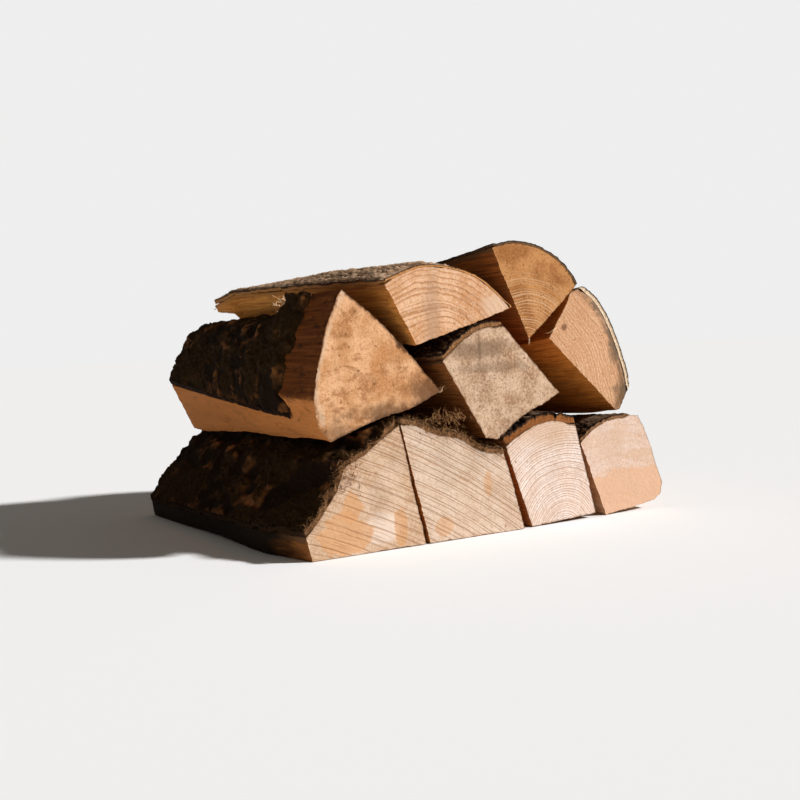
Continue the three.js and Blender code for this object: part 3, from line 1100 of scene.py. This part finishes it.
    # The riven sides.
    side = g.mix(g.step(grain["Streak"], 0.35, 0.68), spec["side"], spec["side_dark"])
    side = g.mix(g.math("MULTIPLY", g.step(grain["Fibre"], 0.5, 0.75), 0.35), side, spec["side_light"])
    side = g.mix(g.math("MULTIPLY", g.step(grain["Blotch"], 0.45, 0.7), 0.5), side, spec["side_dark"])
    streaky = g.noise(g.stretched(place, 0.1, 0.03, 0.1), 1.0, 4.0, 0.6)
    smudge = g.noise(g.stretched(place, 0.11, 0.05, 0.11), 1.0, 6.0, 0.7)
    smudge = g.math("MULTIPLY", g.step(smudge, 0.52, 0.66), spec.get("smudges", 0.3))
    # Painted reflected light: where a side faces down, its colour is mixed towards a lighter orange, for
    # light bounced up onto it.
    if "painted_bounce_side" in spec:
        under = g.math("MULTIPLY_ADD", g.math("SUBTRACT", streaky, 0.5), 1.7, g.attribute("under"))
        under = g.step(under, 0.22, 0.70)
        side = g.mix(g.math("MULTIPLY", under, 0.85), side, spec["painted_bounce_side"])
        smudge = g.math("MULTIPLY", smudge, g.math("MULTIPLY_ADD", under, -0.7, 1.0))
    lines = g.noise(g.stretched(place, 0.9, 0.006, 0.9), 1.0, 3.0, 0.7)
    lines = g.math("MULTIPLY", g.step(lines, 0.47, 0.34), spec.get("lines", 0.5))
    side = g.mix(lines, side, spec["side_dark"])
    # Painted shade: a dark streak on the riven side along the bark's edge.
    reach = g.math("MULTIPLY_ADD", g.math("SUBTRACT", streaky, 0.5), 12.0, bark_near)
    side = g.mix(g.math("MULTIPLY", g.step(reach, 5.0, 2.0), spec.get("shade_by_bark", 0.85)), side, SOOT_AND_SHADE)
    side = g.mix(smudge, side, spec.get("smudge_colour", SOOT_AND_SHADE))
    # Painted shade: the riven side darkened almost to black from just behind its front end.
    if "painted_side_shade" in spec:
        start, full, side_shade_colour = spec["painted_side_shade"]
        depth = g.add("ShaderNodeSeparateXYZ")
        g.put(depth.inputs[0], place)
        reach = g.math("MULTIPLY_ADD", g.math("SUBTRACT", streaky, 0.5), 60.0, depth.outputs["Y"])
        side = g.mix(g.step(reach, start, full), side, side_shade_colour)

    is_end = g.attribute("end")
    colour = g.mix(is_end, side, end)
    fibres = g.math("MULTIPLY", grain["Fibre"], 0.6)
    side_height = g.math("ADD", g.math("MULTIPLY", grain["Streak"], 1.2), fibres)
    height = g.math("MULTIPLY_ADD", g.math("SUBTRACT", height, side_height), is_end, side_height)
    roughness = g.math("MULTIPLY_ADD", grain["Blotch"], 0.2, 0.68)
    finish_surface(g, shader, colour, roughness, height, WOOD_BUMP)
    return material


MOSS_DARK = (0.010, 0.006, 0.002)
MOSS_LIGHT = (0.060, 0.026, 0.005)


def bark_material(spec):
    """The bark of one split: dark crevices, lighter plate tops with painted highlights on the highest, broken
    edges, and moss where it grows.
    """
    look = spec["bark"]
    material, g, shader, place = new_material("bark " + spec["name"])
    relief = g.attribute("relief")
    uneven = g.noise(g.stretched(place, 0.12, 0.05, 0.12), 1.0, 5.0, 0.6)
    fine = g.noise(g.stretched(place, 1.1, 0.6, 1.1), 1.0, 4.0, 0.7)
    top = g.mix(g.step(uneven, 0.35, 0.65), look["top"], look["top_dark"])
    height = g.math("ADD", relief, g.math("MULTIPLY", g.math("SUBTRACT", fine, 0.5), 1.4))
    low, high = look.get("heights", (-0.5, 0.7))
    outside = g.mix(g.step(height, low, high), look["crevice"], top)
    # Painted highlights: the highest parts of the plates are mixed towards the pale colour.
    pale = g.math("MULTIPLY", g.step(height, high, high + 0.9), g.step(fine, 0.45, 0.65))
    outside = g.mix(g.math("MULTIPLY", pale, look.get("highlight_strength", 0.6)), outside, look["pale"])
    green = g.mix(g.step(fine, 0.35, 0.7), MOSS_DARK, MOSS_LIGHT)
    outside = g.mix(g.attribute("moss"), outside, green)
    broken = g.mix(g.step(fine, 0.35, 0.65), look["broken"], look["broken_dark"])
    skin = g.math("MULTIPLY_ADD", g.math("SUBTRACT", fine, 0.5), 0.9, g.attribute("skin"))
    broken = g.mix(g.step(skin, 0.62, 0.85), broken, look["crevice"])
    if "old_edge" in look:
        broken = g.mix(g.attribute("fringe"), look["old_edge"], broken)
    colour = g.mix(g.attribute("cut"), outside, broken)
    detail = g.math("ADD", fine, g.math("MULTIPLY", uneven, 0.5))
    finish_surface(g, shader, colour, BARK_ROUGHNESS, detail, BARK_BUMP)
    return material


# ---------------------------------------------------------------------------------- the nine splits

# Colours of riven sides. The orange and brown sets are darkened and saturated as painted warm shade; the pale
# set is a lighter copy of them for a side in the light.
SHADED_ORANGE_SIDE = {
    "side": (0.6, 0.221, 0.043),
    "side_dark": (0.3, 0.092, 0.015),
    "side_light": (0.864, 0.386, 0.112),
}
SHADED_BROWN_SIDE = {
    "side": (0.408, 0.147, 0.037),
    "side_dark": (0.168, 0.055, 0.012),
    "side_light": (0.624, 0.276, 0.087),
}
LIT_PALE_SIDE = {
    "side": (0.54, 0.32, 0.17),
    "side_dark": (0.40, 0.20, 0.09),
    "side_light": (0.64, 0.43, 0.27),
}
ROUGH_BARK = {
    "relief": flaky,
    "top": (0.20, 0.13, 0.08),
    "top_dark": (0.10, 0.06, 0.035),
    "crevice": (0.02, 0.012, 0.008),
    # pale: the colour of the painted highlights on the highest plates.
    "pale": (0.42, 0.32, 0.24),
    "broken": (0.32, 0.16, 0.07),
    "broken_dark": (0.10, 0.05, 0.025),
}
MOSSY_BARK = {
    **ROUGH_BARK,
    "relief": mossy,
    "top": (0.26, 0.10, 0.028),
    "top_dark": (0.08, 0.032, 0.011),
    "pale": (0.36, 0.15, 0.045),
    "crevice": (0.014, 0.006, 0.002),
    "ragged": 3.0,
    "heights": (-1.2, 0.8),
    "old_edge": (0.035, 0.016, 0.007),
}
BIG_SAW = {
    "centre": (-369, -539),
    "spacing": 8.6,
    "width": 0.56,
    "strength": 0.80,
    "colour": (0.30, 0.14, 0.055),
    "hatch": 0.22,
}
CREAM = (0.64, 0.475, 0.35)
STAIN = (0.60, 0.32, 0.15)
CHALK = (0.74, 0.61, 0.52)
GREY = (0.40, 0.30, 0.22)
# Dark brown: smudges of dirt on the sides, and the painted shade along the bark's edge.
SOOT_AND_SHADE = (0.14, 0.075, 0.035)
USUAL_FLECKS = [
    (3.0, 0.20, 0.25, (0.42, 0.25, 0.13), 0.5),
    (14.0, 0.10, 0.35, (0.25, 0.12, 0.05), 0.7),
]

# How the lists and tuples below are read:
#   flecks: spacing, size, share of the cells that hold one, colour, strength
#   spots: centre (x, z), half size (x, z), colour, strength, how ragged its edge is, how soft
#   mottle: colour, strength
#   ring_fade: radius up to which the rings are full, radius at which they have faded, what is left there
#   dirt: reach from the rim, colour, strength
#   under_bark: a band along the bark, real weathering on middle_3 and a painted sheen on middle_1: reach from
#       the bark, colour, strength
#   painted_side_shade: painted shade over a riven side, where along the grain it begins, where it is full,
#       colour
#   heights, of bark: relief below which all is crevice, relief above which all is plate top
SPLITS = [
    {
        "name": "base_1",
        "seed": 10,
        "wood_slot": "fresh_wood",
        "bark_slot": "mossy_bark",
        "pith": (-75, -25),
        "ring_spacing": 3.2,
        "ring_strength": 0.10,
        "ring_colour": (0.424, 0.261, 0.146),
        "light": CREAM,
        "mid": (0.539, 0.365, 0.241),
        "pore_colour": (0.347, 0.216, 0.131),
        "pores": 0.3,
        "saw": BIG_SAW,
        "spots": [
            ((-118, 17), (17, 12), CHALK, 0.8, 0.6, 0.25),
            ((-120, 40), (10, 17), GREY, 0.30, 0.7, 0.4),
            ((-97, 70), (13, 10), GREY, 0.25, 0.7, 0.4),
            ((-143, 36), (9, 11), STAIN, 0.75, 1.3, 0.1),
            ((-150, 17), (22, 15), STAIN, 0.75, 1.3, 0.1),
            ((-100, 17), (6, 15), STAIN, 0.7, 1.3, 0.1),
        ],
        "dirt": (1.0, (0.293, 0.164, 0.08), 0.45),
        # Painted shade over the riven side.
        "painted_side_shade": (-162, -118, (0.018, 0.010, 0.005)),
        "fringe": {"Density": 120, "Length": 7.5},
        **SHADED_BROWN_SIDE,
        "bark": {**MOSSY_BARK, "front_ragged": 3.0, "broken": (0.36, 0.19, 0.09)},
    },
    {
        "name": "base_2",
        "seed": 20,
        "wood_slot": "fresh_wood",
        "bark_slot": "rough_bark",
        "pith": (-75, -25),
        "ring_spacing": 3.2,
        "ring_strength": 0.10,
        "ring_colour": (0.44, 0.28, 0.166),
        "light": (0.664, 0.528, 0.423),
        "mid": (0.584, 0.432, 0.324),
        "pore_colour": (0.36, 0.232, 0.149),
        "pores": 0.3,
        "saw": BIG_SAW,
        "spots": [
            ((-55, 60), (12, 20), GREY, 0.22, 0.7, 0.4),
            ((-25, 62), (16, 12), GREY, 0.2, 0.7, 0.4),
            ((-13, 42), (4, 11), STAIN, 0.55, 0.6, 0.2),
            ((-59, 12), (9, 8), STAIN, 0.55, 0.7, 0.15),
        ],
        "dirt": (0.9, (0.304, 0.176, 0.091), 0.4),
        "fringe": {"Density": 110, "Length": 8.0},
        **SHADED_ORANGE_SIDE,
        "bark": {**ROUGH_BARK, "front_ragged": 3.0, "ragged": 2.0, "broken": (0.36, 0.20, 0.10)},
    },
    {
        "name": "base_3",
        "seed": 30,
        "wood_slot": "fresh_wood",
        "bark_slot": "rough_bark",
        "pith": (70.4, -10.2),
        "ring_spacing": 2.15,
        "ring_strength": 0.85,
        "ring_width": 0.5,
        "ring_colour": (0.31, 0.16, 0.08),
        "wobble": 0.2,
        "speckle": 0.55,
        "light": (0.80, 0.69, 0.64),
        "mid": (0.722, 0.571, 0.49),
        "pore_colour": (0.387, 0.235, 0.142),
        "pores": 0.35,
        "rays": 0.3,
        "spots": [((50, 86), (42, 17), (0.56, 0.37, 0.24), 0.65, 0.6, 0.5)],
        "dirt": (1.5, (0.258, 0.143, 0.071), 0.65),
        **SHADED_BROWN_SIDE,
        "bark": {
            **ROUGH_BARK,
            "relief": furrowed,
            "crack": 0.26,
            "front_ragged": 0.5,
            "broken": (0.33, 0.125, 0.036),
            "broken_dark": (0.14, 0.046, 0.013),
        },
    },
    {
        "name": "base_4",
        "seed": 40,
        "wood_slot": "fresh_wood",
        "bark_slot": "rough_bark",
        "pith": (135.1, -27.2),
        "ring_spacing": 7.0,
        "ring_strength": 0.38,
        "ring_width": 0.5,
        "ring_colour": (0.562, 0.35, 0.225),
        "wobble": 0.6,
        "light": (0.663, 0.504, 0.42),
        "mid": (0.624, 0.445, 0.345),
        "pore_colour": (0.429, 0.263, 0.165),
        "pores": 0.2,
        "spots": [
            ((152, 6), (75, 34), (0.647, 0.394, 0.255), 0.8, 0.9, 0.06),
            ((166, 52), (26, 4), (0.60, 0.40, 0.27), 0.6, 2.0, 0.2),
            ((128, 62), (16, 14), (0.56, 0.39, 0.28), 0.4, 1.2, 0.4),
        ],
        "dirt": (0.9, (0.351, 0.19, 0.105), 0.4),
        **LIT_PALE_SIDE,
        "bark": {**ROUGH_BARK, "ragged": 2.0},
    },
    {
        "name": "middle_1",
        "seed": 50,
        "wood_slot": "orange_wood",
        "bark_slot": "mossy_bark",
        "pith": (-46, 119),
        "ring_spacing": 5.0,
        "ring_strength": 0.05,
        "ring_colour": (0.49, 0.256, 0.117),
        "light": (0.70, 0.405, 0.22),
        "mid": (0.50, 0.235, 0.094),
        "pore_colour": (0.237, 0.106, 0.046),
        "pores": 0.35,
        "pore_size": 1.6,
        "pale": (0.695, 0.426, 0.247),
        "mottle": ((0.332, 0.142, 0.052), 0.85),
        "flecks": [
            (1.9, 0.30, 0.30, (0.32, 0.14, 0.052), 0.6),
            (3.4, 0.24, 0.38, (0.284, 0.121, 0.046), 0.6),
            (8.0, 0.20, 0.45, (0.158, 0.064, 0.023), 0.75),
        ],
        "spots": [
            ((-60, 119), (22, 13), (0.15, 0.066, 0.028), 0.9, 1.8, 0.5),
            ((-92, 106), (42, 6), (0.126, 0.057, 0.023), 0.75, 2.6, 0.7),
            ((-142, 92), (12, 6), (0.126, 0.057, 0.023), 0.6, 2.6, 0.7),
            ((-98, 178), (5, 5), (0.09, 0.038, 0.016), 0.95, 1.6, 0.6),
            ((-87, 163), (4, 5), (0.126, 0.057, 0.023), 0.8, 1.4, 0.5),
            ((-88, 157), (2.5, 2.5), (0.111, 0.05, 0.019), 0.85, 1.2, 0.5),
        ],
        "dirt": (2.6, (0.126, 0.064, 0.033), 0.75),
        # A pale band along the bark: painted sheen off the smooth cut.
        "under_bark": (3.4, (0.62, 0.46, 0.33), 0.55),
        # Side colours darkened and saturated as painted warm shade.
        "side": (0.20, 0.058, 0.010),
        "side_dark": (0.11, 0.028, 0.005),
        "side_light": (0.30, 0.09, 0.018),
        # A lighter orange on the down-facing sides: painted reflected light.
        "painted_bounce_side": (0.84, 0.31, 0.085),
        "lines": 0.15,
        "smudges": 0.85,
        "smudge_colour": (0.035, 0.011, 0.003),
        "shade_by_bark": 0.0,
        "bark": {
            **MOSSY_BARK,
            "front_ragged": 13.0,
            "bites": 19,
            "thins_over": 9,
            "broken": (0.24, 0.10, 0.04),
        },
    },
    {
        "name": "middle_2",
        "seed": 60,
        "wood_slot": "weathered_wood",
        "bark_slot": "rough_bark",
        "pith": (10.3, 115.6),
        "ring_spacing": 4.4,
        "ring_strength": 0.16,
        "ring_colour": (0.299, 0.165, 0.087),
        "wobble": 0.4,
        "light": (0.60, 0.425, 0.30),
        "mid": (0.36, 0.215, 0.128),
        "pore_colour": (0.166, 0.083, 0.04),
        "pores": 0.55,
        "speckle": 1.0,
        "pale": (0.647, 0.48, 0.335),
        "flecks": [
            (2.6, 0.22, 0.35, (0.216, 0.098, 0.04), 0.6),
            (7.0, 0.13, 0.35, (0.116, 0.053, 0.02), 0.8),
        ],
        "spots": [
            ((-16, 152), (30, 7), (0.17, 0.108, 0.066), 0.65, 1.5, 0.5),
            ((4, 137), (32, 4), (0.17, 0.108, 0.066), 0.5, 1.6, 0.6),
            ((-14, 151), (1.6, 11), (0.12, 0.07, 0.04), 0.5, 1.6, 0.6),
        ],
        "mottle": ((0.62, 0.46, 0.34), 0.5),
        "dirt": (1.8, (0.183, 0.09, 0.04), 0.6),
        "sawn": 0.2,
        **SHADED_BROWN_SIDE,
        "bark": {**ROUGH_BARK, "broken": (0.38, 0.18, 0.07)},
    },
    {
        "name": "middle_3",
        "seed": 70,
        "wood_slot": "orange_wood",
        "bark_slot": "grey_bark",
        "pith": (13.3, 86.2),
        "ring_spacing": 3.3,
        "ring_strength": 0.85,
        "ring_width": 0.6,
        "ring_colour": (0.432, 0.204, 0.087),
        "wobble": 0.5,
        "light": (0.611, 0.354, 0.198),
        "mid": (0.566, 0.299, 0.155),
        "pore_colour": (0.298, 0.15, 0.068),
        "pores": 0.4,
        "spots": [
            ((88, 168), (3, 3), (0.134, 0.061, 0.025), 0.8, 1.2, 0.5),
            ((158, 105), (12, 17), (0.08, 0.045, 0.022), 0.8, 2.2, 0.6),
            ((146, 150), (5, 16), (0.10, 0.06, 0.032), 0.6, 2.2, 0.6),
        ],
        "dirt": (1.2, (0.186, 0.088, 0.037), 0.5),
        "under_bark": (8.0, (0.15, 0.105, 0.07), 0.85),
        "side": (0.744, 0.285, 0.05),
        "side_dark": (0.432, 0.138, 0.022),
        "side_light": (0.9, 0.423, 0.112),
        "rough": 0.45,
        "bark": {
            **ROUGH_BARK,
            "relief": thin,
            "top": (0.62, 0.50, 0.38),
            "top_dark": (0.36, 0.25, 0.16),
            "crevice": (0.16, 0.095, 0.05),
            "heights": (-0.55, 0.25),
            "pale": (0.62, 0.52, 0.42),
            "broken": (0.80, 0.66, 0.50),
            "broken_dark": (0.30, 0.19, 0.10),
            "front_ragged": 0.4,
        },
    },
    {
        "name": "top_1",
        "seed": 80,
        "wood_slot": "orange_wood",
        "bark_slot": "grey_bark",
        "pith": (-55.6, 132.9),
        "ring_spacing": 4.6,
        "ring_strength": 1.0,
        "ring_width": 0.45,
        "ring_colour": (0.40, 0.17, 0.06),
        "wobble": 0.5,
        "light": (0.70, 0.43, 0.26),
        "mid": (0.57, 0.297, 0.146),
        "pore_colour": (0.338, 0.165, 0.073),
        "pores": 0.2,
        "rays": 0.3,
        "spots": [
            ((8, 188), (17, 10), (0.645, 0.462, 0.336), 0.7, 0.8, 0.5),
            ((-60, 180), (8, 34), (0.36, 0.22, 0.135), 0.5, 1.2, 0.6),
            ((-45, 150), (30, 9), (0.72, 0.54, 0.40), 0.6, 1.2, 0.6),
        ],
        "dirt": (0.9, (0.3, 0.132, 0.049), 0.5),
        "side": (0.90, 0.38, 0.08),
        "side_dark": (0.50, 0.18, 0.035),
        "side_light": (0.94, 0.55, 0.20),
        "shade_by_bark": 0.3,
        "bark": {
            **ROUGH_BARK,
            "top": (0.62, 0.43, 0.29),
            "top_dark": (0.42, 0.27, 0.17),
            "crevice": (0.12, 0.07, 0.04),
            "pale": (0.78, 0.61, 0.47),
            "highlight_strength": 0.7,
            "front_ragged": 0.5,
            "thins_over": 16,
            "thin_edge": 1.7,
            "broken": (0.62, 0.30, 0.11),
            "broken_dark": (0.34, 0.14, 0.045),
        },
    },
    {
        "name": "top_2",
        "seed": 90,
        "wood_slot": "orange_wood",
        "bark_slot": "grey_bark",
        "pith": (41.8, 148.8),
        "ring_spacing": 2.7,
        "ring_strength": 0.9,
        "ring_fade": (50, 72, 0.08),
        "ring_width": 0.4,
        "ring_colour": (0.64, 0.44, 0.28),
        "wobble": 0.35,
        "pale": (0.50, 0.26, 0.11),
        "flecks": [
            (3.0, 0.30, 0.50, (0.15, 0.06, 0.02), 0.8),
            (9.0, 0.12, 0.35, (0.09, 0.035, 0.012), 0.8),
        ],
        "light": (0.50, 0.24, 0.088),
        "mid": (0.31, 0.12, 0.034),
        "pore_colour": (0.173, 0.072, 0.023),
        "pores": 0.5,
        "dirt": (0.8, (0.18, 0.078, 0.029), 0.5),
        "side": (0.40, 0.13, 0.03),
        "side_dark": (0.18, 0.055, 0.012),
        "side_light": (0.58, 0.24, 0.07),
        "rough": 0.6,
        "bark": {
            **ROUGH_BARK,
            "relief": thin,
            "top": (0.12, 0.08, 0.05),
            "top_dark": (0.06, 0.04, 0.025),
            "broken": (0.16, 0.09, 0.045),
            "broken_dark": (0.06, 0.035, 0.02),
            "sink": 0.2,
        },
    },
]


def strand_material(name, dark, light):
    """A dull colour that changes from place to place."""
    material, g, shader, place = new_material(name)
    colour = g.mix(g.step(g.noise(g.stretched(place, 0.4, 0.4, 0.4), 1.0, 2.0), 0.35, 0.65), dark, light)
    g.put(shader.inputs["Base Color"], colour)
    shader.inputs["Roughness"].default_value = DULL
    shader.inputs["Specular IOR Level"].default_value = STRAND_GLOSS
    return material


MOSS = strand_material("moss", (0.020, 0.011, 0.003), (0.14, 0.074, 0.012))
FIBRE = strand_material("bark fibre", (0.13, 0.052, 0.016), (0.52, 0.28, 0.12))
SLIVER = strand_material("sliver", (0.50, 0.26, 0.11), (0.85, 0.62, 0.40))
FRAY = strand_material("wood fray", (0.34, 0.19, 0.09), (0.72, 0.52, 0.36))

TORN = [
    # Threads of bark: a clump on the second split of the bottom row, a few over its end, and a tuft on
    # the end of the first.
    dict(
        name="clump_base_2", material=FIBRE, slot="rough_bark", seed=1,
        root=(-46, -156, 96), spread=(13, 3.5, 2), toward=(0.1, -0.1, 0.7),
        count=150, length=9, width=0.75, wild=0.7, curl=0.55,
    ),
    dict(
        name="threads_base_2", material=FIBRE, slot="rough_bark", seed=2,
        root=(-52, -168, 92), spread=(14, 0.6, 2), toward=(0, -0.25, -1.0),
        count=14, length=15, width=0.55, wild=0.35, curl=0.35,
    ),
    dict(
        name="threads_base_1", material=FIBRE, slot="mossy_bark", seed=3,
        root=(-146, -168, 60), spread=(7, 0.8, 7), toward=(-0.3, -0.6, 0.3),
        count=60, length=8, width=0.6, wild=0.7, curl=0.6,
    ),
    # Slivers where a split tore from its neighbour.
    dict(
        name="slivers_middle_1", material=SLIVER, slot="orange_wood", seed=4,
        root=(-130, -44, 197), spread=(2, 8, 2), toward=(-0.7, 0.1, 0.4),
        count=34, length=7, width=1.5, wild=0.45, curl=0.35,
    ),
    dict(
        name="sliver_middle_1_corner", material=SLIVER, slot="orange_wood", seed=5,
        root=(-50, -154, 119), spread=(1, 1, 1), toward=(0.7, -0.2, 0.7),
        count=4, length=7, width=1.2, wild=0.3, curl=0.3,
    ),
    dict(
        name="slivers_middle_3", material=SLIVER, slot="orange_wood", seed=6,
        root=(77, -153, 167), spread=(1.5, 1, 1), toward=(-1.0, -0.2, -0.3),
        count=4, length=15, width=1.3, wild=0.12, curl=0.1,
    ),
    dict(
        name="sliver_top_2", material=SLIVER, slot="orange_wood", seed=7,
        root=(44, -156.5, 160), spread=(0.6, 0.6, 0.6), toward=(0.15, -0.2, -1.0),
        count=3, length=9, width=1.2, wild=0.12, curl=0.15,
    ),
    dict(
        name="slivers_top_1_lip", material=SLIVER, slot="orange_wood", seed=8,
        root=(-86, 161, 204), spread=(9, 0.6, 1.6), toward=(-0.1, 1.0, 0.0),
        count=30, length=4.5, width=1.4, wild=0.3, curl=0.2,
    ),
]
for place in TORN:
    torn_out(**place)

# How the strands grow. Where is the attribute that they follow.
FRAYED = {"Density": 14, "Length": 2.2, "Radius": 0.16, "Lean": 1.3, "Curl": 1.0, "Where": "fray"}
FRINGED = {"Radius": 0.14, "Lean": 1.5, "Curl": 1.5, "Where": "fringe"}
MOSSED = {"Density": 11, "Length": 3.4, "Radius": 0.2, "Lean": 0.9, "Curl": 1.0, "Where": "moss"}

for split in SPLITS:
    wood = build_split(split)
    bark = build_bark(split)
    name = split["name"]
    seed = split["seed"]
    wood_slot = split["wood_slot"]
    bark_slot = split["bark_slot"]
    grow("fray_" + name, wood, FRAY, wood_slot, **FRAYED, Seed=seed)
    if "fringe" in split:
        grow("fibres_" + name, bark, FIBRE, bark_slot, **FRINGED, **split["fringe"], Seed=seed)
    if split["bark"]["relief"] is mossy:
        grow("moss_" + name, bark, MOSS, bark_slot, **MOSSED, Seed=seed)


# -------------------------------------------------------------------------- floor, light and camera


def stage_material(name, colour):
    material, _, shader, _ = new_material(name)
    shader.inputs["Base Color"].default_value = (*colour, 1)
    shader.inputs["Roughness"].default_value = DULL
    shader.inputs["Specular IOR Level"].default_value = 0.0
    return material


FLOOR_RADIUS = 30  # metres
FLOOR_DROP = 0.0004  # metres below the stack, so that the two don't flicker where they meet
FLOOR_SIDES = 64


def make_floor():
    mesh = bpy.data.meshes.new("floor")
    ring = []
    for angle in np.linspace(0, 2 * math.pi, FLOOR_SIDES, False):
        ring.append((FLOOR_RADIUS * math.cos(angle), FLOOR_RADIUS * math.sin(angle), -FLOOR_DROP))
    mesh.from_pydata(ring, [], [tuple(range(FLOOR_SIDES))])
    mesh.materials.append(stage_material("floor", (0.87, 0.91, 0.965)))
    floor = bpy.data.objects.new("floor", mesh)
    bpy.context.scene.collection.objects.link(floor)


def aim(location, target):
    return (Vector(target) - Vector(location)).to_track_quat("-Z", "Y").to_matrix().to_4x4()


def make_key():
    """One soft-edged light from the right and the front: the cut ends are lit and the left sides shaded."""
    data = bpy.data.lights.new("key", "SUN")
    data.energy = 4.9
    data.angle = math.radians(5)
    data.color = (1.0, 0.955, 0.90)
    light = bpy.data.objects.new("key", data)
    light.matrix_world = aim((0.62, -0.56, 0.55), (0, 0, 0))
    bpy.context.scene.collection.objects.link(light)


def make_backdrop():
    """An even pale world: white behind the stack, and a weak fill on its shaded sides."""
    world = bpy.data.worlds.new("studio")
    world.use_nodes = True
    world.node_tree.nodes.clear()
    g = Graph(world.node_tree)
    seen = g.add("ShaderNodeBackground")
    seen.inputs["Color"].default_value = (0.858, 0.858, 0.857, 1)
    fill = g.add("ShaderNodeBackground")
    fill.inputs["Color"].default_value = (1.0, 0.88, 0.74, 1)
    fill.inputs["Strength"].default_value = 0.14
    either = g.add("ShaderNodeMixShader")
    g.put(either.inputs[0], g.add("ShaderNodeLightPath").outputs["Is Camera Ray"])
    g.put(either.inputs[1], fill.outputs[0])
    g.put(either.inputs[2], seen.outputs[0])
    g.put(g.add("ShaderNodeOutputWorld").inputs["Surface"], either.outputs[0])
    bpy.context.scene.world = world


def make_camera():
    turn, rise, roll = math.radians(-33.148), math.radians(2.744), math.radians(-2.225)
    back = Vector((math.sin(turn) * math.cos(rise), -math.cos(turn) * math.cos(rise), math.sin(rise)))
    level = Vector((math.cos(turn), math.sin(turn), 0))
    upright = back.cross(level)
    right = level * math.cos(roll) + upright * math.sin(roll)
    up = back.cross(right)
    data = bpy.data.cameras.new("camera")
    data.lens = 50
    data.sensor_width = 36
    data.clip_start = 0.01
    camera = bpy.data.objects.new("camera", data)
    turned = Matrix((right, up, back)).transposed().to_4x4()
    camera.matrix_world = Matrix.Translation((-0.5675, -0.8886, 0.1566)) @ turned
    bpy.context.scene.collection.objects.link(camera)
    bpy.context.scene.camera = camera


make_floor()
make_key()
make_backdrop()
make_camera()
bpy.context.scene.view_settings.view_transform = "Standard"
